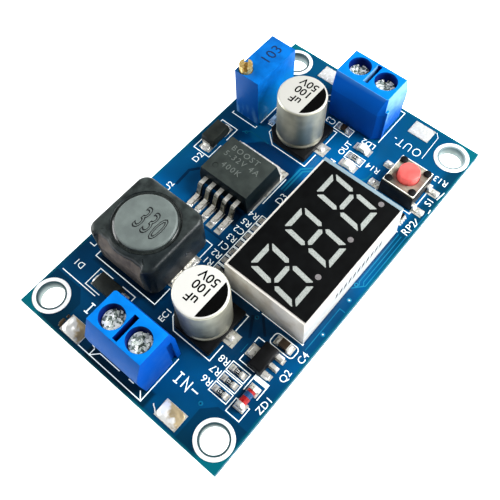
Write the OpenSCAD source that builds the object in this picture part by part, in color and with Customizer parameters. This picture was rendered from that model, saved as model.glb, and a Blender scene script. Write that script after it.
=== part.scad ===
// Boost converter module: a small circuit board with screw terminals, a voltage display and a trimmer.
// Millimetres. X runs from the input edge to the output edge, Y from the display edge to the trimmer edge.
// The origin lies under the middle of the board, at the level of the trimmed lead ends that it stands on.

/* [Board] */
// Length of the board, input edge to output edge
board_l = 66.5; // [64:0.5:80]
// Width of the board
board_w = 39; // [38.5:0.5:48]
// Thickness of the board
board_t = 1.6; // [1:0.1:2.4]
// Diameter of the mounting holes
hole_d = 4.2; // [3:0.1:4.6]
// Mounting hole centres from the short edges
hole_inset_x = 3.5; // [3:0.1:4]
// Mounting hole centres from the long edges
hole_inset_y = 3.1; // [3:0.1:3.6]
// Width of the tinned ring round each mounting hole
ring_w = 0.85; // [0.4:0.05:0.9]
// Height of the tinned lands above the board
land_t = 0.08; // [0.04:0.01:0.14]
// Length of the trimmed lead ends under the board
stub_l = 1.5; // [1:0.1:3]
// Clearance round a lead in its board hole
lead_gap = 0.2; // [0.1:0.05:0.3]
// Length of the bare wire lands, along X
wire_land_l = 2.85; // [2:0.05:3.2]
// Width of the bare wire lands, along Y
wire_land_w = 3.9; // [3:0.1:4.4]
// Bare wire lands from the short edges
wire_land_edge = 0.7; // [0.4:0.05:1.2]
// Bare wire land centres from the middle of the board
wire_land_y = 9.65; // [9.2:0.05:10.4]

/* [Screw terminals] */
// Depth of a terminal, back to wire side
terminal_d = 7.55; // [7:0.05:8.5]
// Width of a terminal, along the board edge
terminal_w = 9.9; // [9.6:0.05:11]
// Height of a terminal above the board
terminal_h = 10.1; // [10:0.05:12]
// Distance between the two poles
pole_pitch = 5; // [4.9:0.02:5.1]
// Wire side of the input terminal from the board edge
input_edge_gap = 1.85; // [1:0.05:2.5]
// Wire side of the output terminal from the board edge
output_edge_gap = 1.4; // [1:0.05:2.5]
// Middle of both terminals from the middle of the board
terminal_y = 0.15; // [-0.4:0.05:0.4]
// Radius of a screw well
well_r = 1.85; // [1.6:0.05:1.9]
// Clearance of a screw head in its well
head_gap = 0.15; // [0.1:0.05:0.25]
// Depth of a screw head's top below the housing's top
head_drop = 1.4; // [1:0.05:1.8]
// Height of a screw head
head_h = 1.35; // [1.2:0.05:1.5]
// Radius of a clamp screw's shank
shank_r = 1.2; // [1:0.05:1.25]
// Radial clearance of the shank in the clamp
shank_gap = 0.05; // [0.02:0.01:0.08]
// Rise of a wire clamp from open to closed
clamp_travel = 1.5; // [1:0.1:1.6]

/* [Capacitors] */
// Radius of a capacitor can
can_r = 4; // [3.5:0.05:4.2]
// Height of a capacitor above the board
can_h = 10.35; // [8:0.05:12]
// Side of a capacitor's base
can_base = 8.3; // [8.2:0.05:8.6]
// Height of a capacitor's base
can_base_h = 1.2; // [1:0.05:1.8]
// Input capacitor, middle along X from half way to the input edge
input_can_dx = -0.825; // [-1:0.025:-0.6]
// Input capacitor, middle along Y
input_can_y = -4; // [-4.2:0.05:-3.6]
// Output capacitor, middle along X from seven tenths of the way to the output edge
output_can_dx = -5.925; // [-6.2:0.025:-5.7]
// Output capacitor, middle along Y
output_can_y = 6.05; // [5.8:0.05:6.3]

/* [Inductor] */
// Side of the inductor's shield
shield_w = 12.5; // [11.8:0.05:12.7]
// Height of the inductor above the board
shield_h = 8.3; // [6:0.05:9]
// Corner radius of the shield
shield_corner = 1.7; // [0.8:0.05:2]
// Radius of the round opening in the shield
shield_bore_r = 5.15; // [4.8:0.05:5.4]
// Radius of the drum core's visible disc
core_r = 4.5; // [4:0.05:4.6]
// Inductor, middle along X from half way to the input edge
inductor_dx = 2.6; // [2.4:0.025:2.75]
// Inductor, middle along Y
inductor_y = 10; // [9.8:0.05:10.2]

/* [Regulator] */
// Length of the regulator's body, along X
regulator_l = 8.4; // [8:0.05:8.8]
// Width of the regulator's body, along Y
regulator_w = 10; // [9.4:0.05:10.4]
// Height of the regulator above the board
regulator_h = 4.4; // [4:0.05:4.8]
// Pitch of the regulator's leads
regulator_pitch = 1.7; // [1.6:0.01:1.8]
// Width of one regulator lead
regulator_lead_w = 0.8; // [0.6:0.05:0.9]
// Reach of the leads from the body
regulator_reach = 4.5; // [4.2:0.05:4.8]
// Reach of the heat tab from the body
tab_reach = 1.3; // [1:0.05:1.6]
// Regulator body, middle along X
regulator_x = 3.9; // [3.7:0.05:4.2]
// Regulator body, middle along Y
regulator_y = 7.75; // [7.6:0.05:7.9]

/* [Trimmer] */
// Length of the trimmer, along X
trimmer_l = 9.53; // [9.4:0.05:10]
// Width of the trimmer, along Y
trimmer_w = 4.83; // [4.75:0.05:5.2]
// Height of the trimmer's housing above the board
trimmer_h = 10.2; // [10:0.05:12]
// Radius of the trimmer screw's head
trimmer_head_r = 1.1; // [0.9:0.05:1.15]
// Height of the screw's head above the housing
trimmer_head_h = 1.25; // [0.8:0.05:1.6]
// Trimmer screw from the end of the housing
trimmer_screw_inset_x = 1.25; // [1.2:0.05:1.4]
// Trimmer screw from the long side of the housing
trimmer_screw_inset_y = 1.3; // [1.25:0.05:1.4]
// Teeth on the trimmer's wheel
wheel_teeth = 28; // [24:1:30]
// Outer radius of the trimmer's wheel
wheel_r = 3.1; // [2.8:0.05:3.2]
// Trimmer, middle along X from half way to the output edge
trimmer_dx = 2.625; // [2.4:0.025:2.9]
// Trimmer, middle along Y
trimmer_y = 15.2; // [15:0.05:15.4]

/* [Push button] */
// Side of the switch
switch_w = 6; // [5.9:0.05:6.3]
// Height of the switch's cover above the board
switch_h = 3.6; // [3.4:0.05:4]
// Height of the button's top above the board
button_h = 5; // [4.6:0.05:7]
// Radius of the button
button_r = 1.75; // [1.6:0.05:1.8]
// Travel of the button
button_travel = 0.25; // [0.2:0.05:0.3]
// Thickness of the switch's cover
cover_t = 0.3; // [0.2:0.05:0.4]
// Reach of the switch's legs from its middle
switch_reach = 4.6; // [4.2:0.05:5]
// Switch, middle along X from six tenths of the way to the output edge
switch_dx = -0.2; // [-0.4:0.05:0]
// Switch, middle along Y
switch_y = -13.6; // [-13.8:0.05:-13.4]

/* [Display] */
// Length of the display's shell, along X
display_l = 23.6; // [23.2:0.05:24]
// Width of the display's shell at its top, along Y
display_w = 14.35; // [14.2:0.05:14.6]
// Height of the display's shell above the board
display_h = 7.3; // [7.2:0.05:8]
// Outward slope of the long walls, top to foot
display_draft = 0.3; // [0:0.05:0.4]
// Thickness of the shell's walls
display_wall = 0.8; // [0.6:0.05:0.9]
// Length of the black face
face_l = 22.5; // [22.2:0.05:22.8]
// Width of the black face
face_w = 13.9; // [13.6:0.05:14]
// Thickness of the black face
face_t = 0.12; // [0.08:0.01:0.2]
// Distance between two digits
digit_pitch = 7.6; // [7.4:0.05:7.6]
// Width of a digit between the middles of its upright segments
digit_w = 4; // [3.8:0.05:4.2]
// Height of a digit between the middles of its top and bottom segments
digit_h = 8.3; // [8:0.05:8.6]
// Width of one segment
segment_w = 0.8; // [0.6:0.05:0.9]
// Gap between neighbouring segments
segment_gap = 0.36; // [0.2:0.02:0.4]
// Slant of the digits in degrees
digit_slant = 7.5; // [0:0.5:10]
// Radius of a decimal point
point_r = 0.45; // [0.3:0.05:0.5]
// Display shell, middle along X
display_x = 0.35; // [0.2:0.05:0.5]
// Display shell, middle along Y
display_y = -9.83; // [-9.9:0.05:-9.7]

/* [Small parts] */
// Length of a small chip part
chip_l = 1.6; // [1.4:0.05:1.8]
// Width of a small chip part
chip_w = 0.8; // [0.7:0.05:0.9]
// Height of a chip resistor
resistor_h = 0.45; // [0.35:0.05:0.6]
// Height of a small chip capacitor
capacitor_h = 0.8; // [0.6:0.05:0.9]
// Pitch of the row of chip parts beside the display
row_pitch = 1.79; // [1.7:0.01:1.8]
// Length of a rectifier diode's body
rectifier_l = 4.4; // [4.2:0.05:4.6]
// Width of a rectifier diode's body
rectifier_w = 2.6; // [2.4:0.05:2.8]
// Height of a rectifier diode
rectifier_h = 2.2; // [2:0.05:2.4]
// Length of a glass diode
glass_diode_l = 3.5; // [3.2:0.05:3.7]
// Radius of a glass diode's end caps
glass_diode_r = 0.75; // [0.65:0.05:0.8]
// Length of the small transistor's body
transistor_l = 4.5; // [4.3:0.05:4.6]
// Width of the small transistor's body
transistor_w = 2.45; // [2.3:0.05:2.6]
// Height of the small transistor
transistor_h = 1.5; // [1.3:0.05:1.7]
// Length of an indicator lamp
lamp_l = 2; // [1.8:0.05:2.2]
// Width of an indicator lamp
lamp_w = 1.25; // [1.1:0.05:1.3]
// Height of an indicator lamp
lamp_h = 0.85; // [0.7:0.05:1.1]
// Length of the resistor array
array_l = 2.2; // [2:0.05:2.4]
// Width of the resistor array with its ends
array_w = 1.1; // [1:0.05:1.3]
// Length of the meter chip under the display
meter_l = 6.5; // [6.2:0.05:7]
// Width of the meter chip's body
meter_w = 4.4; // [4.2:0.05:4.6]

/* [Hidden] */
$fn = 64;
cut = 0.5;
board_top = stub_l + board_t;

// Place along X at a share of the way from the middle to the output edge, or to the input edge if negative
function along(share) = share * board_l / 2;

// Mounting holes and lands
hole_x = board_l / 2 - hole_inset_x;
hole_y = board_w / 2 - hole_inset_y;
ring_gap = 0.05;
land_margin = 0.2;

// Screw terminals, in a local frame: u from the back to the wire side, v along the width
terminal_slope = 1.55;
terminal_back_in = 0.65;
terminal_shoulder = 3.131;
terminal_crease = terminal_h - terminal_shoulder;
terminal_brow = 0.6;
terminal_front = 2.2;
terminal_chin = 0.45;
shank_shift = 0.12;
shank_u = terminal_d / 2 - shank_shift;
shank_hole_gap = 0.15;
head_seat_gap = 0.05;
head_shelf = 0.65;
head_r = well_r - head_gap;
head_top = terminal_h - head_drop;
driver_slot_w = 0.5;
driver_slot_depth = 0.6;
driver_cross_r = 1;
driver_slot_turn = 25;
cavity_gap = 0.2;
clamp_stop_gap = 0.15;
clamp_l = 3.6;
clamp_w = 3.4;
clamp_wall = 0.45;
clamp_floor = 0.6;
clamp_window = 2.9;
clamp_head = 0.8;
clamp_h = clamp_floor + clamp_window + clamp_head;
cavity_top = head_top - head_h - head_shelf;
clamp_z = cavity_top - clamp_travel - clamp_h - clamp_stop_gap;
cavity_z = clamp_z - clamp_stop_gap;
tongue_t = 0.5;
tongue_w = 2.1;
tongue_gap = 0.15;
tongue_z = clamp_z + clamp_floor + clamp_window - tongue_t - tongue_gap;
tongue_top = tongue_z + tongue_t;
tongue_end_gap = 0.4;
tongue_end_u = shank_u + clamp_l / 2 - tongue_end_gap;
contact_u = 0.95;
contact_w = 1;
contact_gap = 0.1;
entry_w = 3.4;
entry_sill = 0.4;
entry_z = clamp_z + clamp_floor - entry_sill;
slot_u = 1.5;
slot_l = 4.2;
slot_w = 0.8;
slot_depth = 2.2;
key_w = 0.7;
key_t = 0.4;
key_u = 1.25;
key_z = 0.3;
key_gap = 0.1;
corner_cut = 0.9;

// Through leads
pin_pitch = 2.54;
trimmer_x = along(0.5) + trimmer_dx;
trimmer_pin_inset = 1.35;
trimmer_pin_d = 0.5;
display_pin_d = 0.5;
contact_hole_d = sqrt(pow(contact_w, 2) + pow(tongue_t, 2)) + 2 * lead_gap;
trimmer_pin_y = trimmer_y - trimmer_pin_inset;
trimmer_pins_x = [for (i = [-1:1]) trimmer_x + i * pin_pitch];
display_row = 4 * pin_pitch;
display_pins_xy = [
    for (i = [-2.5:1:2.5], s = [-1, 1]) [display_x + i * pin_pitch, display_y + s * display_row / 2]
];
contacts_xy = [
    for (side = [-1, 1], pole = [-1, 1])
        [terminal_world_x(side, contact_u + tongue_t / 2), terminal_y + pole * pole_pitch / 2]
];
round_leads = concat(
    [for (x = trimmer_pins_x) [x, trimmer_pin_y, trimmer_pin_d]],
    [for (p = display_pins_xy) [p.x, p.y, display_pin_d]]
);
stub_r = 0.3;
fillet_r = 0.85;
fillet_tip_r = 0.4;
fillet_h = 0.9;
contact_fillet = 0.4;
contact_fillet_r = contact_hole_d / 2 + contact_fillet;

// Capacitors
input_can_x = along(-0.5) + input_can_dx;
output_can_x = along(0.7) + output_can_dx;
can_edge = 0.35;
can_foot_in = 0.3;
can_foot_h = 0.25;
can_bead_top = 0.6;
can_groove_low = 0.9;
can_groove_high = 1.1;
can_groove_end = 1.4;
can_groove_depth = 0.22;
can_base_cut = 1.7;
can_base_gap = 0.05;
can_land_w = 2.3;
can_land_l = 3.2;
can_reach = 5.9;
can_lead_w = 0.9;
can_lead_t = 0.3;
can_lead_start = 1.4;
can_lead_end = 4.75;

// Inductor
inductor_x = along(-0.5) + inductor_dx;
shield_z = 0.9;
clip_w = 5.4;
clip_t = 0.25;
clip_reach = 0.5;
clip_depth = 1.8;
clip_split = 0.5;
clip_tab_in = 0.1;
clip_tab_t = 0.4;
inductor_land_w = 6.4;
core_hub_r = 2.6;
core_foot_gap = 0.15;
core_foot_r = shield_bore_r - core_foot_gap;
core_foot_h = 1.2;
core_disc_h = 1.3;
core_z = 0.6;
core_rise = 0.4;
winding_gap = 0.1;

// Regulator
regulator_lift = 0.03;
regulator_z = land_t + regulator_lift;
regulator_waist = 1.5;
regulator_foot_in = 0.15;
regulator_lead_draft = 0.2;
regulator_tab_draft = 0.6;
regulator_side_draft = 0.35;
dimple_inset = 1.9;
dimple_r = 0.5;
dimple_depth = 0.1;
lead_t = 0.45;
lead_exit_z = 2.3;
lead_foot = 2;
lead_shoulder = 1.4;
lead_bend = 0.3;
tab_t = 1.27;
tab_step = 0.3;
tab_w = regulator_w - tab_step;
tab_root = 3;
tab_corner = 0.9;
regulator_land_w = 1.15;
regulator_land_l = 3.5;
regulator_land_out = 1.15;
regulator_land_x = regulator_l / 2 + regulator_reach + regulator_land_out - regulator_land_l / 2;
tab_land_out = 0.6;
tab_land_side = 0.3;

// Trimmer
trimmer_z = 0.3;
trimmer_foot = 0.8;
trimmer_head_gap = 0.1;
trimmer_slot_w = 0.64;
trimmer_slot_depth = 0.75;
trimmer_slot_turn = 35;
trimmer_screw_x = trimmer_x - trimmer_l / 2 + trimmer_screw_inset_x;
trimmer_screw_y = trimmer_y + trimmer_w / 2 - trimmer_screw_inset_y;
worm_r = 0.75;
worm_gap = 0.13;
mesh_gap = 0.12;
worm_z = 1.5;
worm_neck = 1.2;
worm_end_gap = 0.2;
worm_seat_gap = 0.05;
wheel_t = 1.4;
wheel_tooth = 0.3;
wheel_gap = 0.22;
wheel_x = trimmer_screw_x + worm_r + mesh_gap + wheel_r;
wheel_z = 5.2;
wheel_hub_r = 1;
wheel_stub_r = 0.8;
wheel_stub_l = 0.3;
wheel_stub_gap = 0.05;
wheel_side_gap = 0.3;
wheel_low_y = trimmer_screw_y - wheel_t / 2;
plate_l = 6.4;
plate_t = 0.6;
plate_z = 1.3;
plate_top = 8.6;
plate_y = trimmer_pin_y;
plate_gap = 0.2;

// Push button
switch_x = along(0.6) + switch_dx;
stud_r = 0.45;
stud_head_r = 0.62;
stud_gap = 0.05;
stud_pitch = 4.4;
stud_h = 0.25;
switch_z = 0.1;
switch_base_h = switch_h - cover_t;
cover_inset = 0.12;
button_gap = 0.12;
plunger_r = 0.8;
flange_lip = 0.45;
flange_r = button_r + flange_lip;
flange_t = 1;
flange_gap = 0.05;
switch_well_gap = 0.2;
switch_well_r = flange_r + switch_well_gap;
switch_floor = 0.8;
dome_r = 2.1;
dome_t = 0.1;
dome_spare = 0.35;
dome_rise = button_travel + dome_spare;
dome_gap = 0.02;
switch_leg_w = 0.75;
switch_leg_t = 0.25;
switch_leg_z = 1.1;
switch_leg_pitch = 4.5;
switch_leg_out = 0.35;
switch_leg_run = 0.4;
switch_leg_in = 0.2;
switch_land_w = 1.45;
switch_land_l = 2;
switch_land_out = 0.5;

// Display
face_rim_x = 0.4;
face_rim_y = 0.1;
face_x = display_x - (display_l - face_l) / 2 + face_rim_x;
face_y = display_y - (display_w - face_w) / 2 + face_rim_y;
display_roof = 1.2;
lamp_board_t = 1.6;
lamp_board_gap = 0.1;
lamp_board_z = display_h - display_roof - lamp_board_t - lamp_board_gap / 2;
digits_shift = -0.15;
digits_x = [for (i = [-1:1]) face_x + i * digit_pitch + digits_shift];
point_dx = 2.9;

// Small parts, each given by the middle of its footprint
row_x = -10.4;
row_y = -0.8;
trio_dx = -2.74;
trio_pitch = 1.88;
trio_y = -12.85;
lamp_row_dx = -3.9;
lamp_row_y = -4.1;
lamp_row_shift = 0.27;
lamp_pitch = 4.2;
switch_resistor_dx = 1.025;
terminal_capacitor_gap = 1.2;
terminal_capacitor_y = 0.85;
brown_capacitor_dx = -5.04;
brown_capacitor_y = -15.4;
brown_capacitor_l = 2;
brown_capacitor_w = 1.25;
brown_capacitor_h = 0.88;
resistors_xy = [
    for (i = [0, 1, 3, 5, 6]) [row_x + i * row_pitch, row_y],
    for (i = [0:2]) [along(-0.65) + trio_dx + i * trio_pitch, trio_y],
    [along(0.7) + lamp_row_dx, lamp_row_y],
    [along(0.7) + switch_resistor_dx, switch_y]
];
chip_capacitors = [
    for (i = [2, 4]) [row_x + i * row_pitch, row_y, chip_l, chip_w, capacitor_h],
    [terminal_world_x(1, -terminal_capacitor_gap), terminal_capacitor_y, chip_l, chip_w, capacitor_h],
    [along(-0.25) + brown_capacitor_dx, brown_capacitor_y,
        brown_capacitor_l, brown_capacitor_w, brown_capacitor_h]
];
chip_end = 0.3;
chip_lip = 0.02;
chip_land_l = 0.95;
chip_land_in = 0.35;
chip_land_side = 0.1;
lamps_xy = [for (s = [-0.5, 0.5]) [along(0.7) + lamp_row_dx + s * lamp_pitch + lamp_row_shift, lamp_row_y]];
lamp_base_h = 0.35;
lamp_end = 0.35;
lamp_draft = 0.1;
output_rectifier_x = 7.85;
output_rectifier_y = 16.6;
input_rectifier_dx = 1.44;
input_rectifier_y = 10.2;
rectifiers = [
    [output_rectifier_x, output_rectifier_y, 0],
    [along(-0.75) + input_rectifier_dx, input_rectifier_y, 90]
];
rectifier_foot = 1.2;
rectifier_end_draft = 0.2;
rectifier_side_draft = 0.15;
rectifier_lead_gap = 0.1;
rectifier_lift = 0.22;
rectifier_z = land_t + rectifier_lift;
rectifier_lead_t = 0.2;
rectifier_lead_w = 1.5;
rectifier_land_l = 2.2;
rectifier_land_w = 2.2;
rectifier_land_out = 0.95;
corner_diode_dx = -0.99;
corner_diode_y = -16.2;
hidden_diode_x = 5.4;
hidden_diode_y = -1.5;
glass_diodes_xy = [[along(-0.65) + corner_diode_dx, corner_diode_y], [hidden_diode_x, hidden_diode_y]];
glass_cap_l = 0.65;
glass_cap_step = 0.08;
glass_tube_r = glass_diode_r - glass_cap_step;
glass_land_l = 1.5;
glass_land_w = 1.8;
transistor_dx = -3.6;
transistor_y = -14.4;
transistor_xy = [along(-0.4) + transistor_dx, transistor_y];
transistor_pitch = 1.5;
transistor_lead_w = 0.5;
transistor_lead_t = 0.4;
transistor_lead_l = 1.05;
transistor_tab_w = 1.7;
transistor_tab_l = 0.85;
transistor_strap_in = 0.6;
transistor_land_l = 1.7;
transistor_land_in = 0.25;
transistor_land_y = transistor_w / 2 - transistor_land_in + transistor_land_l / 2;
transistor_waist = 0.6;
transistor_draft = 0.15;
transistor_lift = 0.02;
transistor_z = land_t + transistor_lift;
array_dx = 6.2;
array_y = -16.3;
array_xy = [along(0.25) + array_dx, array_y];
array_h = 0.45;
array_pitch = 0.5;
array_end_w = 0.32;
array_end_l = 0.2;
array_land_l = 0.6;
meter_xy = [display_x, display_y];
meter_z = 0.15;
meter_h = 1.15;
meter_pitch = 0.65;
meter_leads = 10;
meter_lead_w = 0.22;
meter_lead_t = 0.15;
meter_reach = 1;
meter_lead_out = 0.3;
meter_lead_run = 0.2;
meter_lead_in = 0.15;
meter_land_l = 1;
meter_land_out = 0.3;
meter_land_side = 0.05;

// World X of a distance u from the back of the input (-1) or output (1) terminal
function terminal_world_x(side, u) =
    side * (board_l / 2 - (side < 0 ? input_edge_gap : output_edge_gap) - terminal_d + u);

// Box given by its lowest corner and its highest corner
module block(low, high) {
    translate(low) cube(high - low);
}

// Plate on the board: middle, size along X and Y, bottom and top above the board
module slab(x, y, l, w, bottom, top) {
    translate([x - l / 2, y - w / 2, bottom]) cube([l, w, top - bottom]);
}

// Outline in X and Z carried along Y by a width, centred
module bar_along_y(points, width) {
    translate([0, width / 2, 0]) rotate([90, 0, 0]) linear_extrude(width) polygon(points);
}

// Outline in Y and Z carried along X by a width, centred
module bar_along_x(points, width) {
    translate([-width / 2, 0, 0]) rotate([90, 0, 90]) linear_extrude(width) polygon(points);
}

module rounded_square(w, d, r) {
    square([w, d - 2 * r], center = true);
    square([w - 2 * r, d], center = true);
    for (x = [-1, 1], y = [-1, 1])
        translate([x * (w / 2 - r), y * (d / 2 - r)])
            circle(r);
}

module on_board() {
    translate([0, 0, board_top]) children();
}

// Board, lands and solder

module circuit_board() {
    color("#1f63a3")
    difference() {
        translate([-board_l / 2, -board_w / 2, stub_l]) cube([board_l, board_w, board_t]);
        for (x = [-1, 1], y = [-1, 1])
            translate([x * hole_x, y * hole_y, stub_l - cut])
                cylinder(d = hole_d, h = board_t + 2 * cut);
        for (lead = round_leads)
            translate([lead[0], lead[1], stub_l - cut])
                cylinder(d = lead[2] + 2 * lead_gap, h = board_t + 2 * cut, $fn = 32);
        for (p = contacts_xy)
            translate([p.x, p.y, stub_l - cut])
                cylinder(d = contact_hole_d, h = board_t + 2 * cut, $fn = 32);
    }
}

module hole_ring() {
    difference() {
        cylinder(d = hole_d + 2 * ring_w, h = land_t);
        translate([0, 0, -cut]) cylinder(d = hole_d + 2 * ring_gap, h = land_t + 2 * cut);
    }
}

module land(x, y, l, w) {
    slab(x, y, l, w, 0, land_t);
}

module chip_lands(x, y, l, w) {
    for (s = [-1, 1])
        land(x, y + s * (l / 2 - chip_land_in + chip_land_l / 2), w + 2 * chip_land_side, chip_land_l);
}

module tinned_pads() {
    color("gainsboro") {
        for (x = [-1, 1], y = [-1, 1]) {
            translate([x * hole_x, y * hole_y, board_top]) hole_ring();
            translate([x * hole_x, y * hole_y, stub_l - land_t]) hole_ring();
        }
        on_board() {
            for (x = [-1, 1], y = [-1, 1])
                land(x * (board_l / 2 - wire_land_edge - wire_land_l / 2), y * wire_land_y,
                    wire_land_l, wire_land_w);
            for (p = [[input_can_x, input_can_y], [output_can_x, output_can_y]], s = [-1, 1])
                land(p.x, p.y + s * (can_reach - can_land_l / 2), can_land_w, can_land_l);
            for (s = [-1, 1])
                land(inductor_x, inductor_y + s * (shield_w / 2 + clip_reach - clip_depth / 2),
                    inductor_land_w, clip_depth + 2 * land_margin);
            for (i = [-2:2])
                land(regulator_x - regulator_land_x, regulator_y + i * regulator_pitch,
                    regulator_land_l, regulator_land_w);
            block([regulator_x - tab_root, regulator_y - regulator_w / 2 - tab_land_side, 0],
                [regulator_x + regulator_l / 2 + tab_reach + tab_land_out,
                    regulator_y + regulator_w / 2 + tab_land_side, land_t]);
            for (p = resistors_xy)
                chip_lands(p.x, p.y, chip_l, chip_w);
            for (c = chip_capacitors)
                chip_lands(c[0], c[1], c[2], c[3]);
            for (p = lamps_xy)
                chip_lands(p.x, p.y, lamp_l, lamp_w);
            for (r = rectifiers, s = [-1, 1])
                translate([r[0], r[1], 0]) rotate(r[2])
                    land(s * (rectifier_l / 2 + rectifier_land_out - rectifier_land_l / 2), 0,
                        rectifier_land_l, rectifier_land_w);
            for (p = glass_diodes_xy, s = [-1, 1])
                land(p.x + s * (glass_diode_l / 2 - glass_cap_l / 2), p.y, glass_land_l, glass_land_w);
            for (i = [-1:1])
                land(transistor_xy.x + i * transistor_pitch, transistor_xy.y - transistor_land_y,
                    transistor_lead_w + 2 * land_margin, transistor_land_l);
            land(transistor_xy.x, transistor_xy.y + transistor_land_y,
                transistor_tab_w + 2 * land_margin, transistor_land_l);
            for (x = [-1, 1], s = [-1, 1])
                land(switch_x + x * switch_leg_pitch / 2,
                    switch_y + s * (switch_reach + switch_land_out - switch_land_l / 2),
                    switch_land_w, switch_land_l);
            for (i = [-1.5:1:1.5], s = [-1, 1])
                land(array_xy.x + i * array_pitch, array_xy.y + s * array_w / 2, array_end_w, array_land_l);
            for (i = [0:meter_leads - 1], s = [-1, 1])
                land(meter_xy.x + (i - (meter_leads - 1) / 2) * meter_pitch,
                    meter_xy.y + s * (meter_w / 2 + meter_reach + meter_land_out - meter_land_l / 2),
                    meter_lead_w + 2 * meter_land_side, meter_land_l);
        }
    }
}

// Solder cone with the trimmed end of its lead, standing down from the board
module solder_joint(foot_r) {
    translate([0, 0, stub_l - fillet_h]) cylinder(r1 = fillet_tip_r, r2 = foot_r, h = fillet_h, $fn = 32);
    cylinder(r = stub_r, h = stub_l - fillet_h, $fn = 32);
}

module solder_joints() {
    color("silver") {
        for (lead = round_leads)
            translate([lead[0], lead[1], 0]) solder_joint(fillet_r);
        for (p = contacts_xy)
            translate([p.x, p.y, 0]) solder_joint(contact_fillet_r);
    }
}

// Screw terminals

module terminal_place(side) {
    translate([terminal_world_x(side, 0), terminal_y, board_top])
        rotate(side < 0 ? 180 : 0)
            children();
}

module terminal_outline() {
    polygon([
        [0, 0],
        [0, terminal_crease],
        [terminal_back_in, terminal_h],
        [terminal_d - terminal_slope, terminal_h],
        [terminal_d, terminal_crease - terminal_brow],
        [terminal_d, terminal_crease - terminal_brow - terminal_front],
        [terminal_d - terminal_chin, 0]
    ]);
}

module terminal_housing(side) {
    color("#0d6fe0")
    terminal_place(side)
    difference() {
        union() {
            difference() {
                translate([0, terminal_w / 2, 0]) rotate([90, 0, 0])
                    linear_extrude(terminal_w) terminal_outline();
                translate([0, -terminal_w / 2, -cut]) rotate(45)
                    block([-corner_cut, -corner_cut, 0],
                        [corner_cut / sqrt(2), corner_cut, terminal_h + 2 * cut]);
            }
            block([key_u - key_w / 2, -terminal_w / 2 - key_t, key_z],
                [key_u + key_w / 2, corner_cut - terminal_w / 2, terminal_crease]);
        }
        block([key_u - key_w / 2 - key_gap, terminal_w / 2 - key_t - key_gap, -cut],
            [key_u + key_w / 2 + key_gap, terminal_w / 2 + cut, terminal_crease + key_gap]);
        block([slot_u, -slot_w / 2, terminal_h - slot_depth],
            [slot_u + slot_l, slot_w / 2, terminal_h + cut]);
        for (pole = [-1, 1])
            translate([0, pole * pole_pitch / 2, 0]) terminal_pole_cuts();
    }
}

// Screw well, clamp space, wire entry and contact slot of one pole
module terminal_pole_cuts() {
    translate([shank_u, 0, head_top - head_h - head_seat_gap]) cylinder(r = well_r, h = terminal_h);
    translate([shank_u, 0, cavity_top - cut]) cylinder(r = shank_r + shank_hole_gap, h = terminal_h);
    block([shank_u - clamp_l / 2 - cavity_gap, -clamp_w / 2 - cavity_gap, cavity_z],
        [shank_u + clamp_l / 2 + cavity_gap, clamp_w / 2 + cavity_gap, cavity_top]);
    block([shank_u, -entry_w / 2, entry_z], [terminal_d + cut, entry_w / 2, tongue_top]);
    block([contact_u - contact_gap, -tongue_w / 2 - tongue_gap, -cut],
        [shank_u, tongue_w / 2 + tongue_gap, tongue_top + contact_gap]);
}

module terminal_screw_place(side, pole) {
    translate([terminal_world_x(side, shank_u), terminal_y + pole * pole_pitch / 2, board_top])
        rotate(side < 0 ? 180 : 0)
            children();
}

module terminal_screw(side, pole) {
    slot_z = head_top - driver_slot_depth;
    shank_z = tongue_top + contact_gap;
    half = driver_slot_w / 2;
    color("lightgray")
    terminal_screw_place(side, pole)
    difference() {
        union() {
            translate([0, 0, head_top - head_h]) cylinder(r = head_r, h = head_h);
            translate([0, 0, shank_z]) cylinder(r = shank_r, h = head_top - head_h / 2 - shank_z);
        }
        rotate(driver_slot_turn) {
            block([-head_r - cut, -half, slot_z], [head_r + cut, half, head_top + cut]);
            block([-half, -driver_cross_r, slot_z], [half, driver_cross_r, head_top + cut]);
        }
    }
}

module terminal_clamp(side, pole) {
    color("silver")
    terminal_screw_place(side, pole)
    difference() {
        block([-clamp_l / 2, -clamp_w / 2, clamp_z], [clamp_l / 2, clamp_w / 2, clamp_z + clamp_h]);
        block([-clamp_l / 2 - cut, -clamp_w / 2 + clamp_wall, clamp_z + clamp_floor],
            [clamp_l / 2 + cut, clamp_w / 2 - clamp_wall, clamp_z + clamp_floor + clamp_window]);
        translate([0, 0, clamp_z + clamp_floor + cut]) cylinder(r = shank_r + shank_gap, h = clamp_h);
    }
}

module terminal_contacts(side) {
    color("gainsboro")
    terminal_place(side)
    for (pole = [-1, 1])
        translate([0, pole * pole_pitch / 2, 0]) {
            block([contact_u, -tongue_w / 2, tongue_z], [tongue_end_u, tongue_w / 2, tongue_top]);
            block([contact_u, -contact_w / 2, -board_t], [contact_u + tongue_t, contact_w / 2, tongue_z]);
        }
}

// Electrolytic capacitors

module capacitor_can(x, y) {
    r = can_r;
    top = can_h - can_base_h;
    groove = r - can_groove_depth;
    color("silver")
    on_board() translate([x, y, can_base_h])
    rotate_extrude()
    union() {
        polygon([
            [0, 0], [r - can_foot_in, 0], [r, can_foot_h], [r, can_bead_top],
            [groove, can_groove_low], [groove, can_groove_high], [r, can_groove_end],
            [r, top - can_edge], [r - can_edge, top], [0, top]
        ]);
        translate([r - can_edge, top - can_edge]) circle(can_edge);
    }
}

module capacitor_base(x, y) {
    half = can_base / 2;
    inner = half - can_base_cut;
    low = land_t + can_base_gap;
    color("#1b1b1d")
    on_board() translate([x, y, 0])
    difference() {
        translate([0, 0, low]) linear_extrude(can_base_h - low)
            polygon([
                [-half, -half], [half, -half], [half, inner], [inner, half], [-inner, half], [-half, inner]
            ]);
        slab(0, 0, can_lead_w + 2 * can_base_gap, can_base + 2 * cut, 0, low + can_lead_t);
    }
}

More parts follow.
